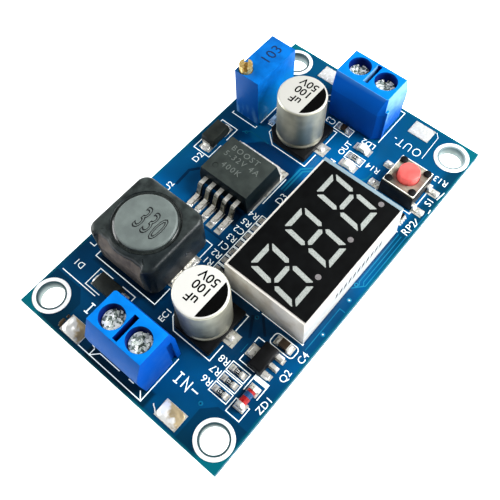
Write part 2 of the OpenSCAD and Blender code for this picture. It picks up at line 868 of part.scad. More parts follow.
module capacitor_leads(x, y) {
    color("gainsboro")
    on_board()
    for (s = [-1, 1])
        slab(x, y + s * (can_lead_end + can_lead_start) / 2, can_lead_w, can_lead_end - can_lead_start,
            land_t, land_t + can_lead_t);
}

// Inductor

module inductor_shield() {
    color("#2e2f31")
    on_board() translate([inductor_x, inductor_y, shield_z])
    difference() {
        linear_extrude(shield_h - shield_z) rounded_square(shield_w, shield_w, shield_corner);
        translate([0, 0, -cut]) cylinder(r = shield_bore_r, h = shield_h + 2 * cut);
    }
}

module inductor_core() {
    disc_z = shield_h + core_rise - core_disc_h;
    color("#6d7070")
    on_board() translate([inductor_x, inductor_y, 0]) {
        translate([0, 0, core_z]) cylinder(r = core_foot_r, h = core_foot_h);
        translate([0, 0, core_z + core_foot_h]) cylinder(r = core_hub_r, h = disc_z - core_z - core_foot_h);
        translate([0, 0, disc_z]) cylinder(r = core_r, h = core_disc_h);
    }
}

module inductor_winding() {
    low = core_z + core_foot_h + winding_gap;
    high = shield_h + core_rise - core_disc_h - winding_gap;
    color("peru")
    on_board() translate([inductor_x, inductor_y, low])
    difference() {
        cylinder(r = core_r - winding_gap, h = high - low);
        translate([0, 0, -cut]) cylinder(r = core_hub_r + winding_gap, h = high - low + 2 * cut);
    }
}

module inductor_clips() {
    out = -shield_w / 2 - clip_reach;
    tab = -shield_w / 2 + clip_tab_in;
    top = land_t + clip_t;
    color("gainsboro")
    on_board() translate([inductor_x, inductor_y, 0])
    for (s = [0, 180], f = [-1, 1])
        rotate(s) translate([f * (clip_w + clip_split) / 4, 0, 0])
            bar_along_x([
                [out, land_t], [out + clip_depth, land_t], [out + clip_depth, top], [tab + clip_tab_t, top],
                [tab + clip_tab_t, shield_z], [tab, shield_z], [tab, top], [out, top]
            ], (clip_w - clip_split) / 2);
}

// Regulator

module regulator_place() {
    on_board() translate([regulator_x, regulator_y, 0]) children();
}

module regulator_body() {
    half_l = regulator_l / 2;
    half_w = regulator_w / 2;
    top_w = half_w - regulator_side_draft;
    waist = regulator_waist;
    color("#3a3b3d")
    regulator_place()
    difference() {
        intersection() {
            bar_along_y([
                [regulator_foot_in - half_l, regulator_z], [half_l, regulator_z], [half_l, waist],
                [half_l - regulator_tab_draft, regulator_h], [regulator_lead_draft - half_l, regulator_h],
                [-half_l, lead_exit_z + lead_t], [-half_l, lead_exit_z]
            ], regulator_w);
            bar_along_x([
                [-half_w, regulator_z], [half_w, regulator_z], [half_w, waist],
                [top_w, regulator_h], [-top_w, regulator_h], [-half_w, waist]
            ], regulator_l);
        }
        block([-tab_root, -tab_w / 2, 0], [half_l + cut, tab_w / 2, land_t + tab_t]);
        translate([dimple_inset - half_l, half_w - dimple_inset, regulator_h - dimple_depth])
            cylinder(r = dimple_r, h = regulator_h);
    }
}

module regulator_leads() {
    root = -regulator_l / 2;
    tip = root - regulator_reach;
    knee = tip + lead_foot;
    bend = root - lead_shoulder;
    top = land_t + lead_t;
    exit_top = lead_exit_z + lead_t;
    color("gainsboro")
    regulator_place()
    for (i = [-2:2])
        translate([0, i * regulator_pitch, 0])
            bar_along_y([
                [root, exit_top], [bend, exit_top], [bend - lead_bend, exit_top - lead_bend],
                [knee + lead_bend / 2, top + lead_bend / 2], [knee - lead_bend / 2, top],
                [tip, top], [tip, land_t],
                [knee + lead_bend / 2, land_t], [knee + lead_t + lead_bend / 3, land_t + lead_bend],
                [bend + lead_bend / 2, lead_exit_z], [root, lead_exit_z]
            ], regulator_lead_w);
}

module regulator_tab() {
    end = regulator_l / 2 + tab_reach;
    half = tab_w / 2;
    color("silver")
    regulator_place()
    translate([0, 0, land_t]) linear_extrude(tab_t)
        polygon([
            [-tab_root, -half], [end - tab_corner, -half], [end, tab_corner - half],
            [end, half - tab_corner], [end - tab_corner, half], [-tab_root, half]
        ]);
}

// Trimmer

module trimmer_housing() {
    back = plate_y - plate_t / 2 - plate_gap;
    front = wheel_low_y - wheel_side_gap;
    color("#1273d6")
    on_board()
    difference() {
        slab(trimmer_x, trimmer_y, trimmer_l, trimmer_w, 0, trimmer_h);
        slab(trimmer_x, trimmer_y, trimmer_l - 2 * trimmer_foot, trimmer_w + 2 * cut, -cut, trimmer_z);
        translate([trimmer_screw_x, trimmer_screw_y, worm_z - worm_end_gap])
            cylinder(r = worm_r + worm_gap, h = trimmer_h);
        translate([trimmer_screw_x, trimmer_screw_y, trimmer_h - worm_neck])
            cylinder(r = trimmer_head_r + trimmer_head_gap, h = trimmer_h);
        slab(trimmer_x, (back + front) / 2, plate_l + 2 * plate_gap, front - back,
            -cut, plate_top + plate_gap);
        translate([wheel_x, front, wheel_z]) rotate([-90, 0, 0])
            cylinder(r = wheel_r + wheel_gap, h = wheel_t + wheel_side_gap + wheel_gap);
        translate([wheel_x, trimmer_screw_y, wheel_z]) rotate([-90, 0, 0])
            cylinder(r = wheel_stub_r + wheel_stub_gap, h = wheel_t / 2 + wheel_stub_l + wheel_stub_gap,
                $fn = 32);
    }
}

module trimmer_screw() {
    top = trimmer_h + trimmer_head_h;
    head_z = trimmer_h - worm_neck + worm_seat_gap;
    reach = trimmer_head_r + cut;
    half = trimmer_slot_w / 2;
    color("goldenrod")
    on_board() translate([trimmer_screw_x, trimmer_screw_y, 0])
    difference() {
        union() {
            translate([0, 0, worm_z]) cylinder(r = worm_r, h = trimmer_h - worm_z);
            translate([0, 0, head_z]) cylinder(r = trimmer_head_r, h = top - head_z);
        }
        rotate(trimmer_slot_turn) block([-reach, -half, top - trimmer_slot_depth], [reach, half, top + cut]);
    }
}

module trimmer_wheel() {
    step = 360 / wheel_teeth;
    root_r = wheel_r - wheel_tooth;
    tooth = [[0, root_r], [0.3, root_r], [0.5, wheel_r], [0.8, wheel_r]];
    hub_y = plate_y + plate_t / 2 + plate_gap;
    color("ivory")
    on_board() translate([wheel_x, trimmer_screw_y, wheel_z]) rotate([-90, 0, 0]) {
        translate([0, 0, -wheel_t / 2]) linear_extrude(wheel_t)
            polygon([
                for (i = [0:wheel_teeth - 1], k = tooth)
                    k[1] * [cos((i + k[0]) * step), sin((i + k[0]) * step)]
            ]);
        translate([0, 0, wheel_t / 2]) cylinder(r = wheel_stub_r, h = wheel_stub_l, $fn = 32);
        translate([0, 0, hub_y - trimmer_screw_y])
            cylinder(r = wheel_hub_r, h = wheel_low_y - hub_y, $fn = 32);
    }
}

module trimmer_plate() {
    color("white")
    on_board() slab(trimmer_x, plate_y, plate_l, plate_t, plate_z, plate_top);
}

module trimmer_pins() {
    color("gainsboro")
    on_board()
    for (x = trimmer_pins_x)
        translate([x, trimmer_pin_y, -board_t]) cylinder(d = trimmer_pin_d, h = board_t + plate_z, $fn = 32);
}

// Push button switch

module switch_place() {
    on_board() translate([switch_x, switch_y, 0]) children();
}

module studs(r, z, h) {
    for (x = [-1, 1], y = [-1, 1])
        translate([x * stud_pitch / 2, y * stud_pitch / 2, z]) cylinder(r = r, h = h, $fn = 32);
}

module switch_base() {
    color("#1a1a1a")
    switch_place()
    difference() {
        union() {
            slab(0, 0, switch_w, switch_w, switch_z, switch_base_h);
            studs(stud_r, switch_base_h - cut, cut + cover_t + stud_h);
            studs(stud_head_r, switch_h, stud_h);
        }
        translate([0, 0, switch_floor]) cylinder(r = switch_well_r, h = switch_h);
    }
}

module switch_cover() {
    side = switch_w - 2 * cover_inset;
    color("tan")
    switch_place()
    difference() {
        slab(0, 0, side, side, switch_base_h, switch_h);
        translate([0, 0, switch_base_h - cut]) cylinder(r = button_r + button_gap, h = cover_t + 2 * cut);
        studs(stud_r + stud_gap, switch_base_h - cut, cover_t + 2 * cut);
    }
}

module switch_button() {
    flange_z = switch_base_h - flange_gap - flange_t;
    foot_z = switch_floor + dome_rise + dome_t + dome_gap;
    color("tomato")
    switch_place() {
        translate([0, 0, foot_z]) cylinder(r = plunger_r, h = flange_z - foot_z, $fn = 32);
        translate([0, 0, flange_z]) cylinder(r = flange_r, h = flange_t);
        translate([0, 0, flange_z + flange_t])
            cylinder(r = button_r, h = button_h - flange_z - flange_t);
    }
}

module switch_dome() {
    sphere_r = (pow(dome_r, 2) + pow(dome_rise, 2)) / (2 * dome_rise);
    color("lightgray")
    switch_place()
    translate([0, 0, switch_floor])
    intersection() {
        translate([0, 0, dome_rise - sphere_r])
            difference() {
                sphere(r = sphere_r + dome_t);
                sphere(r = sphere_r);
            }
        cylinder(r = dome_r, h = dome_rise + 2 * dome_t);
    }
}

module switch_legs() {
    root = switch_w / 2;
    out = root + switch_leg_out;
    foot = out + switch_leg_run;
    top = land_t + switch_leg_t;
    color("gainsboro")
    switch_place()
    for (s = [0, 180], x = [-1, 1])
        rotate(s) translate([x * switch_leg_pitch / 2, 0, 0])
            bar_along_x([
                [root, switch_leg_z], [out, switch_leg_z], [foot, top], [switch_reach, top],
                [switch_reach, land_t], [foot - switch_leg_in, land_t],
                [out - switch_leg_in, switch_leg_z - switch_leg_t],
                [root, switch_leg_z - switch_leg_t]
            ], switch_leg_w);
}

// Display

module display_place() {
    on_board() translate([display_x, display_y, 0]) children();
}

// One point of a digit, leaning with its height
function lean(p) = [p.x + p.y * tan(digit_slant), p.y];
function flip(points, sx, sy) = [for (p = points) [p.x * sx, p.y * sy]];
function shift(points, d) = [for (p = points) p + d];

blunt = segment_w / 4;
top_reach = digit_w / 2 + segment_w / 2 - segment_gap;
bar_top = shift([
    [blunt - top_reach, segment_w / 2], [top_reach - blunt, segment_w / 2],
    [top_reach - blunt / 2, (segment_w - blunt) / 2], [top_reach - segment_w, -segment_w / 2],
    [segment_w - top_reach, -segment_w / 2], [blunt / 2 - top_reach, (segment_w - blunt) / 2]
], [0, digit_h / 2]);
side_reach = digit_h / 2 + segment_w / 2 - segment_gap;
bar_side = shift([
    [segment_w / 2, side_reach - blunt], [(segment_w - blunt) / 2, side_reach - blunt / 2],
    [-segment_w / 2, side_reach - segment_w], [-segment_w / 2, segment_gap + segment_w / 2],
    [0, segment_gap], [segment_w / 2, segment_gap + segment_w / 2]
], [digit_w / 2, 0]);
mid_reach = digit_w / 2 - segment_gap;
bar_mid = [
    [-mid_reach, 0], [segment_w / 2 - mid_reach, segment_w / 2], [mid_reach - segment_w / 2, segment_w / 2],
    [mid_reach, 0], [mid_reach - segment_w / 2, -segment_w / 2], [segment_w / 2 - mid_reach, -segment_w / 2]
];
digit_bars = concat(
    [bar_mid, bar_top, flip(bar_top, 1, -1)],
    [for (sx = [-1, 1], sy = [-1, 1]) flip(bar_side, sx, sy)]
);

// Every light segment and decimal point, from one height to another above the board
module segment_prisms(low, high) {
    for (x = digits_x) {
        for (bar = digit_bars)
            translate([x, face_y, low]) linear_extrude(high - low) polygon([for (p = bar) lean(p)]);
        translate([x + point_dx, face_y - digit_h / 2, low]) cylinder(r = point_r, h = high - low, $fn = 32);
    }
}

module display_shell() {
    half_w = display_w / 2;
    foot = half_w + display_draft;
    color("whitesmoke")
    difference() {
        display_place()
            bar_along_x([[-foot, 0], [foot, 0], [half_w, display_h], [-half_w, display_h]], display_l);
        display_place()
            slab(0, 0, display_l - 2 * display_wall, display_w - 2 * display_wall,
                -cut, display_h - display_roof);
        on_board() segment_prisms(display_h - display_roof - cut, display_h + cut);
    }
}

module display_face() {
    color("#151515")
    on_board()
    difference() {
        slab(face_x, face_y, face_l, face_w, display_h, display_h + face_t);
        segment_prisms(display_h - cut, display_h + face_t + cut);
    }
}

module display_segments() {
    color("#b9bdb8")
    on_board() segment_prisms(display_h - display_roof, display_h + face_t);
}

module display_board() {
    inset = 2 * (display_wall + lamp_board_gap);
    color("#d9d2b4")
    display_place()
        slab(0, 0, display_l - inset, display_w - inset, lamp_board_z, lamp_board_z + lamp_board_t);
}

module display_pins() {
    color("gainsboro")
    on_board()
    for (p = display_pins_xy)
        translate([p.x, p.y, -board_t]) cylinder(d = display_pin_d, h = board_t + lamp_board_z, $fn = 32);
}

// Small parts

module resistor_bodies() {
    color("#202124")
    on_board()
    for (p = resistors_xy)
        slab(p.x, p.y, chip_w, chip_l - 2 * chip_end, land_t + chip_lip, land_t + resistor_h - chip_lip);
}

module chip_ends(x, y, l, w, h) {
    for (s = [-1, 1])
        slab(x, y + s * (l - chip_end) / 2, w, chip_end, land_t, land_t + h);
}

module resistor_ends() {
    color("gainsboro")
    on_board()
    for (p = resistors_xy)
        chip_ends(p.x, p.y, chip_l, chip_w, resistor_h);
}

module chip_capacitor_bodies() {
    color("#8a6a45")
    on_board()
    for (c = chip_capacitors)
        slab(c[0], c[1], c[3], c[2] - 2 * chip_end, land_t + chip_lip, land_t + c[4] - chip_lip);
}

module chip_capacitor_ends() {
    color("gainsboro")
    on_board()
    for (c = chip_capacitors)
        chip_ends(c[0], c[1], c[2], c[3], c[4]);
}

module array_body() {
    color("#1d1d1f")
    on_board()
        slab(array_xy.x, array_xy.y, array_l, array_w - 2 * array_end_l, land_t, land_t + array_h);
}

module array_ends() {
    color("gainsboro")
    on_board()
    for (i = [-1.5:1:1.5], s = [-1, 1])
        slab(array_xy.x + i * array_pitch, array_xy.y + s * (array_w - array_end_l) / 2,
            array_end_w, array_end_l, land_t, land_t + array_h);
}

module lamp_bases() {
    color("whitesmoke")
    on_board()
    for (p = lamps_xy)
        slab(p.x, p.y, lamp_w, lamp_l, land_t, land_t + lamp_base_h);
}

module lamp_lenses() {
    half = lamp_l / 2 - lamp_end;
    crown = half - lamp_draft;
    base = land_t + lamp_base_h;
    top = land_t + lamp_h;
    color("#f4f6f2")
    on_board()
    for (p = lamps_xy)
        translate([p.x, p.y, 0])
            bar_along_x([
                [-half, base], [half, base], [crown, top], [-crown, top]
            ], lamp_w);
}

module rectifier_place() {
    on_board()
    for (r = rectifiers)
        translate([r[0], r[1], 0]) rotate(r[2]) children();
}

module rectifier_bodies() {
    half_l = rectifier_l / 2;
    half_w = rectifier_w / 2;
    top_l = half_l - rectifier_end_draft;
    top_w = half_w - rectifier_side_draft;
    low = rectifier_z;
    waist = rectifier_h / 2;
    color("#222326")
    rectifier_place()
    intersection() {
        bar_along_y([
            [-top_l, low], [top_l, low], [half_l, waist], [top_l, rectifier_h], [-top_l, rectifier_h],
            [-half_l, waist]
        ], rectifier_w);
        bar_along_x([
            [-top_w, low], [top_w, low], [half_w, waist], [top_w, rectifier_h], [-top_w, rectifier_h],
            [-half_w, waist]
        ], rectifier_l);
    }
}

module rectifier_leads() {
    half = rectifier_l / 2;
    out = half + rectifier_lead_t + rectifier_lead_gap;
    inner = out - rectifier_lead_t;
    foot = out - rectifier_foot;
    top = land_t + rectifier_lead_t;
    waist = rectifier_h / 2;
    color("gainsboro")
    rectifier_place()
    for (s = [0, 180])
        rotate(s)
            bar_along_y([
                [foot, land_t], [out, land_t], [out, waist + rectifier_lead_gap],
                [half, waist + rectifier_lead_gap], [half, waist], [inner, waist - rectifier_lead_gap],
                [inner, top], [foot, top]
            ], rectifier_lead_w);
}

module along_x(x, y, z, r, h) {
    translate([x, y, z]) rotate([0, 90, 0]) cylinder(r = r, h = h, $fn = 48);
}

module glass_diode_tubes() {
    color("#d8432f")
    on_board()
    for (p = glass_diodes_xy)
        along_x(p.x - glass_diode_l / 2 + glass_cap_l, p.y, land_t + glass_diode_r,
            glass_tube_r, glass_diode_l - 2 * glass_cap_l);
}

module glass_diode_caps() {
    color("gainsboro")
    on_board()
    for (p = glass_diodes_xy, s = [-1, 1])
        along_x(p.x + s * (glass_diode_l - glass_cap_l) / 2 - glass_cap_l / 2, p.y, land_t + glass_diode_r,
            glass_diode_r, glass_cap_l);
}

module transistor_place() {
    on_board() translate([transistor_xy.x, transistor_xy.y, 0]) children();
}

module transistor_body() {
    half_l = transistor_l / 2;
    half_w = transistor_w / 2;
    top_l = half_l - transistor_draft;
    top_w = half_w - transistor_draft;
    color("#242426")
    transistor_place()
    difference() {
        intersection() {
            bar_along_y([
                [-half_l, transistor_z], [half_l, transistor_z], [half_l, transistor_waist],
                [top_l, transistor_h], [-top_l, transistor_h], [-half_l, transistor_waist]
            ], transistor_w);
            bar_along_x([
                [-half_w, transistor_z], [half_w, transistor_z], [half_w, transistor_waist],
                [top_w, transistor_h], [-top_w, transistor_h], [-half_w, transistor_waist]
            ], transistor_l);
        }
        transistor_straps();
    }
}

// Three leads and the tab, which run a little way under the body
module transistor_straps() {
    high = land_t + transistor_lead_t;
    for (i = [-1:1])
        slab(i * transistor_pitch, -(transistor_w + transistor_lead_l - transistor_strap_in) / 2,
            transistor_lead_w, transistor_lead_l + transistor_strap_in, land_t, high);
    slab(0, (transistor_w + transistor_tab_l - transistor_strap_in) / 2, transistor_tab_w,
        transistor_tab_l + transistor_strap_in, land_t, high);
}

module transistor_leads() {
    color("gainsboro")
    transistor_place() transistor_straps();
}

module meter_chip_body() {
    color("#1f2022")
    on_board() slab(meter_xy.x, meter_xy.y, meter_l, meter_w, meter_z, meter_h);
}

module meter_chip_leads() {
    root = meter_w / 2;
    out = root + meter_lead_out;
    foot = out + meter_lead_run;
    tip = root + meter_reach;
    mid = (meter_z + meter_h) / 2;
    top = land_t + meter_lead_t;
    color("gainsboro")
    on_board() translate([meter_xy.x, meter_xy.y, 0])
    for (s = [0, 180], i = [0:meter_leads - 1])
        rotate(s) translate([(i - (meter_leads - 1) / 2) * meter_pitch, 0, 0])
            bar_along_x([
                [root, mid], [out, mid], [foot, top], [tip, top], [tip, land_t],
                [foot - meter_lead_in, land_t], [out - meter_lead_in, mid - meter_lead_t],
                [root, mid - meter_lead_t]
            ], meter_lead_w);
}

circuit_board();
tinned_pads();
solder_joints();
terminal_housing(-1);  // input_terminal_housing
terminal_housing(1);  // output_terminal_housing
terminal_screw(-1, 1);  // input_plus_screw
terminal_screw(-1, -1);  // input_minus_screw
terminal_screw(1, 1);  // output_plus_screw
terminal_screw(1, -1);  // output_minus_screw
terminal_clamp(-1, 1);  // input_plus_clamp
terminal_clamp(-1, -1);  // input_minus_clamp
terminal_clamp(1, 1);  // output_plus_clamp
terminal_clamp(1, -1);  // output_minus_clamp
terminal_contacts(-1);  // input_terminal_contacts
terminal_contacts(1);  // output_terminal_contacts
capacitor_can(input_can_x, input_can_y);  // input_capacitor_can
capacitor_base(input_can_x, input_can_y);  // input_capacitor_base
capacitor_leads(input_can_x, input_can_y);  // input_capacitor_leads
capacitor_can(output_can_x, output_can_y);  // output_capacitor_can
capacitor_base(output_can_x, output_can_y);  // output_capacitor_base
capacitor_leads(output_can_x, output_can_y);  // output_capacitor_leads
inductor_shield();
inductor_core();
inductor_winding();
inductor_clips();
regulator_body();
regulator_leads();
regulator_tab();
trimmer_housing();
trimmer_screw();
trimmer_wheel();
trimmer_plate();
trimmer_pins();
switch_base();
switch_cover();
switch_button();
switch_dome();
switch_legs();
display_shell();
display_face();
display_segments();
display_board();
display_pins();
resistor_bodies();
resistor_ends();
chip_capacitor_bodies();
chip_capacitor_ends();
array_body();
array_ends();
lamp_bases();
lamp_lenses();
rectifier_bodies();
rectifier_leads();
glass_diode_tubes();
glass_diode_caps();
transistor_body();
transistor_leads();
meter_chip_body();
meter_chip_leads();
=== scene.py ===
"""Looks of a boost converter module with a three digit display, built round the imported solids.

Sizes are in millimetres and turn into metres where a mesh is made. X runs from the input edge to the
output edge, Y from the display to the inductor, and Z up from the floor. A near wall faces -Y.
"""
import math
from functools import reduce

import bmesh
import bpy
from mathutils import Matrix, Vector, noise


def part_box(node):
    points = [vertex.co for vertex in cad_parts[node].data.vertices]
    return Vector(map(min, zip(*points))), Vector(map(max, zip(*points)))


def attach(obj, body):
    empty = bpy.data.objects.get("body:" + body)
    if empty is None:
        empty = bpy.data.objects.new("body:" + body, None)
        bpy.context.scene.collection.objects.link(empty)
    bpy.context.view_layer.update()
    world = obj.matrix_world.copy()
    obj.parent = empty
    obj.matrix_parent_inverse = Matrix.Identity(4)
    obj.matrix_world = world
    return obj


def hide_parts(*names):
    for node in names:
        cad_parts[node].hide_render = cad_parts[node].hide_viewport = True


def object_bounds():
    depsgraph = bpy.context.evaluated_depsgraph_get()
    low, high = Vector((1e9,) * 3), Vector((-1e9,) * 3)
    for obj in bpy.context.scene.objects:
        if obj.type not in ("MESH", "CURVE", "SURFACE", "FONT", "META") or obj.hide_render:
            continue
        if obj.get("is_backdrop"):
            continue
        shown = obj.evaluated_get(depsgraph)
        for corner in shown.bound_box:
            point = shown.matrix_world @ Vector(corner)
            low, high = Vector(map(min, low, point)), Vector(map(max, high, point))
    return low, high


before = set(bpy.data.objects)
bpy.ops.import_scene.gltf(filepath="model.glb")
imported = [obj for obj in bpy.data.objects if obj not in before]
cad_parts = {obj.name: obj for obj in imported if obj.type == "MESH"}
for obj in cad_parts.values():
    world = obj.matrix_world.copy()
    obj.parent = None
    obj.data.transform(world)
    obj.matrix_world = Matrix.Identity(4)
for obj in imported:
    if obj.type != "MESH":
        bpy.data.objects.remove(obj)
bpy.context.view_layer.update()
scene = bpy.context.scene

MM = 0.001
BODY = "board_assembly"
SIDES, POLES = ("input", "output"), ("plus", "minus")


def span(node):
    """Lowest and highest corner of a node, in millimetres."""
    low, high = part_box(node)
    return low / MM, high / MM


def centre(node):
    """The middle of a node's box, in millimetres."""
    low, high = span(node)
    return (low + high) / 2


board_low, board_high = span("circuit_board")
TOP = board_high.z
HALF_L, HALF_W = board_high.x, board_high.y
WELL_R, STEP_DOWN = 1.9, 3.9
FACE_END = span("display_face")[1].x


# Shader maths

class Tone:
    """A shader socket that takes part in Python sums, each of which adds a Math node."""

    def __init__(self, finish, socket):
        self.finish, self.socket = finish, socket

    def sum(self, operation, first, second=0.0):
        """A Math node that works on two values."""
        return self.finish.node("ShaderNodeMath", {"operation": operation}, {0: first, 1: second})

    def __add__(self, other):
        return self.sum("ADD", self, other)

    def __sub__(self, other):
        return self.sum("SUBTRACT", self, other)

    def __rsub__(self, other):
        return self.sum("SUBTRACT", other, self)

    def __mul__(self, other):
        return self.sum("MULTIPLY", self, other)

    def __gt__(self, other):
        return self.sum("GREATER_THAN", self, other)

    def __lt__(self, other):
        return self.sum("LESS_THAN", self, other)

    def __abs__(self):
        return self.sum("ABSOLUTE", self)

    def fraction(self):
        """What is left above the whole number below."""
        return self.sum("FRACT", self)

    def over(self, other):
        """The larger of two values."""
        return self.sum("MAXIMUM", self, other)

    def under(self, other):
        """The smaller of two values."""
        return self.sum("MINIMUM", self, other)

    __radd__ = __add__
    __rmul__ = __mul__


def tint(code):
    """A colour written as six hex digits, as linear red, green, blue and alpha."""
    shares = [int(code[i:i + 2], 16) / 255 for i in (0, 2, 4)]
    return tuple(s / 12.92 if s < 0.04045 else ((s + 0.055) / 1.055) ** 2.4 for s in shares) + (1.0,)


class Nodes:
    """A node tree whose nodes are added one by one."""

    def __init__(self, tree):
        self.tree = tree

    def put(self, socket, value):
        """Links a tone to a socket, or sets a number, a vector or a colour code on it."""
        if isinstance(value, Tone):
            self.tree.links.new(value.socket, socket)
        else:
            socket.default_value = tint(value) if isinstance(value, str) else value

    def node(self, kind, settings, sockets, out=0):
        """A node of any kind: its settings first, then the values or links of its sockets."""
        made = self.tree.nodes.new(kind)
        for name, value in settings.items():
            if name == "stops":
                ramp = made.color_ramp
                while len(ramp.elements) < len(value):
                    ramp.elements.new(0.5)
                for stop, (place, shade) in zip(ramp.elements, value):
                    stop.position, stop.color = place, shade
            else:
                setattr(made, name, value)
        for socket, value in sockets.items():
            self.put(made.inputs[socket], value)
        return Tone(self, made.outputs[out])

    def band(self, value, *stops):
        """A value turned into a colour or a share by stops of place and shade."""
        shades = [(p, tint(s) if isinstance(s, str) else (s, s, s, 1.0)) for p, s in stops]
        return self.node("ShaderNodeValToRGB", {"stops": shades}, {0: value})

    def rise(self, value, start, end, most=1.0):
        """A share that climbs from 0 to the most given while a value goes from start to end."""
        return self.band(value, (start, 0.0), (end, most))

    def fall(self, value, start, end, most=1.0):
        """A share that drops from the most given to 0 while a value goes from start to end."""
        return self.band(value, (start, most), (end, 0.0))


class Finish(Nodes):
    """A material made of nodes. Fixed values go straight to the shader's own sockets."""

    def __init__(self, name, **fixed):
        self.material = bpy.data.materials.new(name)
        self.material.use_nodes = True
        super().__init__(self.material.node_tree)
        self.tree.nodes.clear()
        self.shader = self.tree.nodes.new("ShaderNodeBsdfPrincipled")
        end = self.tree.nodes.new("ShaderNodeOutputMaterial")
        self.tree.links.new(self.shader.outputs[0], end.inputs[0])
        self.set(**fixed)

    def set(self, **values):
        """Values of the shader's sockets, by name with underscores for spaces."""
        for name, value in values.items():
            self.put(self.shader.inputs[name.replace("_", " ")], value)
        return self

    def place(self, stretch=(1.0, 1.0, 1.0)):
        """Where a point lies on the object, in millimetres, squeezed along each axis by a factor."""
        at = self.node("ShaderNodeTexCoord", {}, {}, "Object")
        scale = tuple(s / MM for s in stretch)
        return self.node("ShaderNodeVectorMath", {"operation": "MULTIPLY"}, {0: at, 1: scale})

    def axes(self, wanted="XYZ"):
        """The places along the axes wanted, in millimetres."""
        at = self.place()
        return [self.node("ShaderNodeSeparateXYZ", {}, {0: at}, axis) for axis in wanted]

    def facing(self, axis="Z"):
        """How far a face looks along an axis, from -1 to 1."""
        normal = self.node("ShaderNodeNewGeometry", {}, {}, "Normal")
        return self.node("ShaderNodeSeparateXYZ", {}, {0: normal}, axis)

    def cloud(self, size, detail=2.0, stretch=(1.0, 1.0, 1.0)):
        """Soft random shares from 0 to 1, with lumps of about the size given."""
        sockets = {"Vector": self.place(stretch), "Scale": 1 / size, "Detail": detail}
        return self.node("ShaderNodeTexNoise", {}, sockets)

    def cells(self, out, per_mm=3.2):
        """Random cells: the colour that each one has, or the distance from its middle."""
        sockets = {"Vector": self.place(), "Scale": per_mm}
        return self.node("ShaderNodeTexVoronoi", {"feature": "F1"}, sockets, out)

    def mix(self, share, first, second):
        """The first colour where the share is 0, the second where it is 1."""
        return self.node("ShaderNodeMix", {"data_type": "RGBA"}, {0: share, 6: first, 7: second}, 2)

    def patchy(self, tone, dark, light, start=0.35, end=0.65):
        """A dark shade that turns into a light one where a random share is high."""
        return self.mix(self.rise(tone, start, end), dark, light)

    def bump(self, height, depth):
        """A surface that rises with a share, by a depth in millimetres."""
        sockets = {"Strength": 1.0, "Distance": depth * MM, "Height": height}
        return self.node("ShaderNodeBump", {}, sockets)


# Finishes

def height_share(z, low, high):
    """A place along Z as a share of the way from a lowest corner to a highest one."""
    return (z - low.z) * (1 / (high.z - low.z))


def within(x, y, x0, y0, x1, y1):
    """How far inside a rectangle a point lies, in millimetres, and below 0 outside it."""
    return (x - x0).under(x1 - x).under(y - y0).under(y1 - y)


def distance_squared(x, y, spot):
    """The square of a point's distance from a spot, as seen from above."""
    from_x, from_y = x - spot[0], y - spot[1]
    return from_x * from_x + from_y * from_y


def moulded(name, light, dark, rough=0.4, grain=0.12, depth=0.012, coat=0.0, sheen=0.5):
    """Moulded plastic or epoxy: two near shades, a fine grain and a slightly uneven gloss."""
    f = Finish(name, Coat_Weight=coat, Coat_Roughness=0.15, Specular_IOR_Level=sheen)
    lumps = f.cloud(1.6, 3.0)
    skin = f.cloud(grain, 2.0)
    f.set(Base_Color=f.patchy(lumps, dark, light),
          Roughness=rough + (skin - 0.5) * 0.16 + (lumps - 0.5) * 0.1,
          Normal=f.bump(skin, depth))
    return f


def metal(name, light, dark, rough=0.3, lump=0.5, depth=0.01, stretch=(1.0, 1.0, 1.0), gleam=1.0):
    """Bright metal with cloudy patches, drawn out along an axis where it was rolled or turned."""
    f = Finish(name, Metallic=gleam)
    patches = f.cloud(lump, 3.0, stretch)
    fine = f.cloud(lump / 5, 2.0, stretch)
    f.set(Base_Color=f.patchy(patches, dark, light, 0.3, 0.7),
          Roughness=rough + (patches - 0.5) * 0.25,
          Normal=f.bump(fine, depth))
    return f


def zinc_finish():
    """Zinc plate: small crystals of differing shade and tilt, the brightest of them glowing faintly as
    painted glints.
    """
    # The emission is a painted glint: the brightest crystals glow though the screws are no lamp.
    f = Finish("zinc_plate", Metallic=0.25, Emission_Strength=0.22)
    shade = f.node("ShaderNodeSeparateXYZ", {}, {0: f.cells("Color")}, "X")
    tilt = f.cloud(0.35, 3.0)
    f.set(Base_Color=f.band(shade, (0.1, "77867c"), (0.4, "d2ddd6"), (0.75, "ffffff")),
          Emission_Color=f.band(shade, (0.35, "000000"), (0.8, "f4fff8")),
          Roughness=0.2 + shade * 0.15,
          Normal=f.bump(tilt, 0.12))
    return f


def lead_finish():
    """Tinned leads, with painted light where they lie level and painted shade down the bend and on their
    sheared sides.
    """
    f = Finish("tinned_lead", Metallic=0.5)
    patches = f.cloud(0.6, 3.0)
    # Painted light and shade by the way a face looks: pale where level, dark down the bend and on the
    # sheared sides.
    shaded_sides = abs(f.facing("Y")) > 0.6
    bright = f.patchy(patches, "d8d6cc", "fdfcf6", 0.3, 0.7)
    bend_shade = f.patchy(patches, "5c584a", "b5b09e")
    face = f.mix(f.rise(f.facing(), 0.55, 0.85), bend_shade, bright)
    f.set(Base_Color=f.mix(shaded_sides, face, "33332f"),
          Roughness=0.3 + (patches - 0.5) * 0.2,
          Normal=f.bump(patches, 0.01))
    return f


def epoxy_finish():
    """Grey moulded epoxy, with painted shade on the drafted sides."""
    f = Finish("grey_epoxy", Specular_IOR_Level=0.25)
    lumps, skin = f.cloud(1.6, 3.0), f.cloud(0.09)
    level = f.rise(f.facing(), 0.3, 0.9)
    top = f.patchy(lumps, "353b39", "3f4643")
    # The drafted sides take painted shade, darker than the level top.
    f.set(Base_Color=f.mix(level, f.mix(lumps, "0d181b", "152227"), top),
          Roughness=0.5 + (skin - 0.5) * 0.16 + (lumps - 0.5) * 0.1,
          Normal=f.bump(skin, 0.014))
    return f


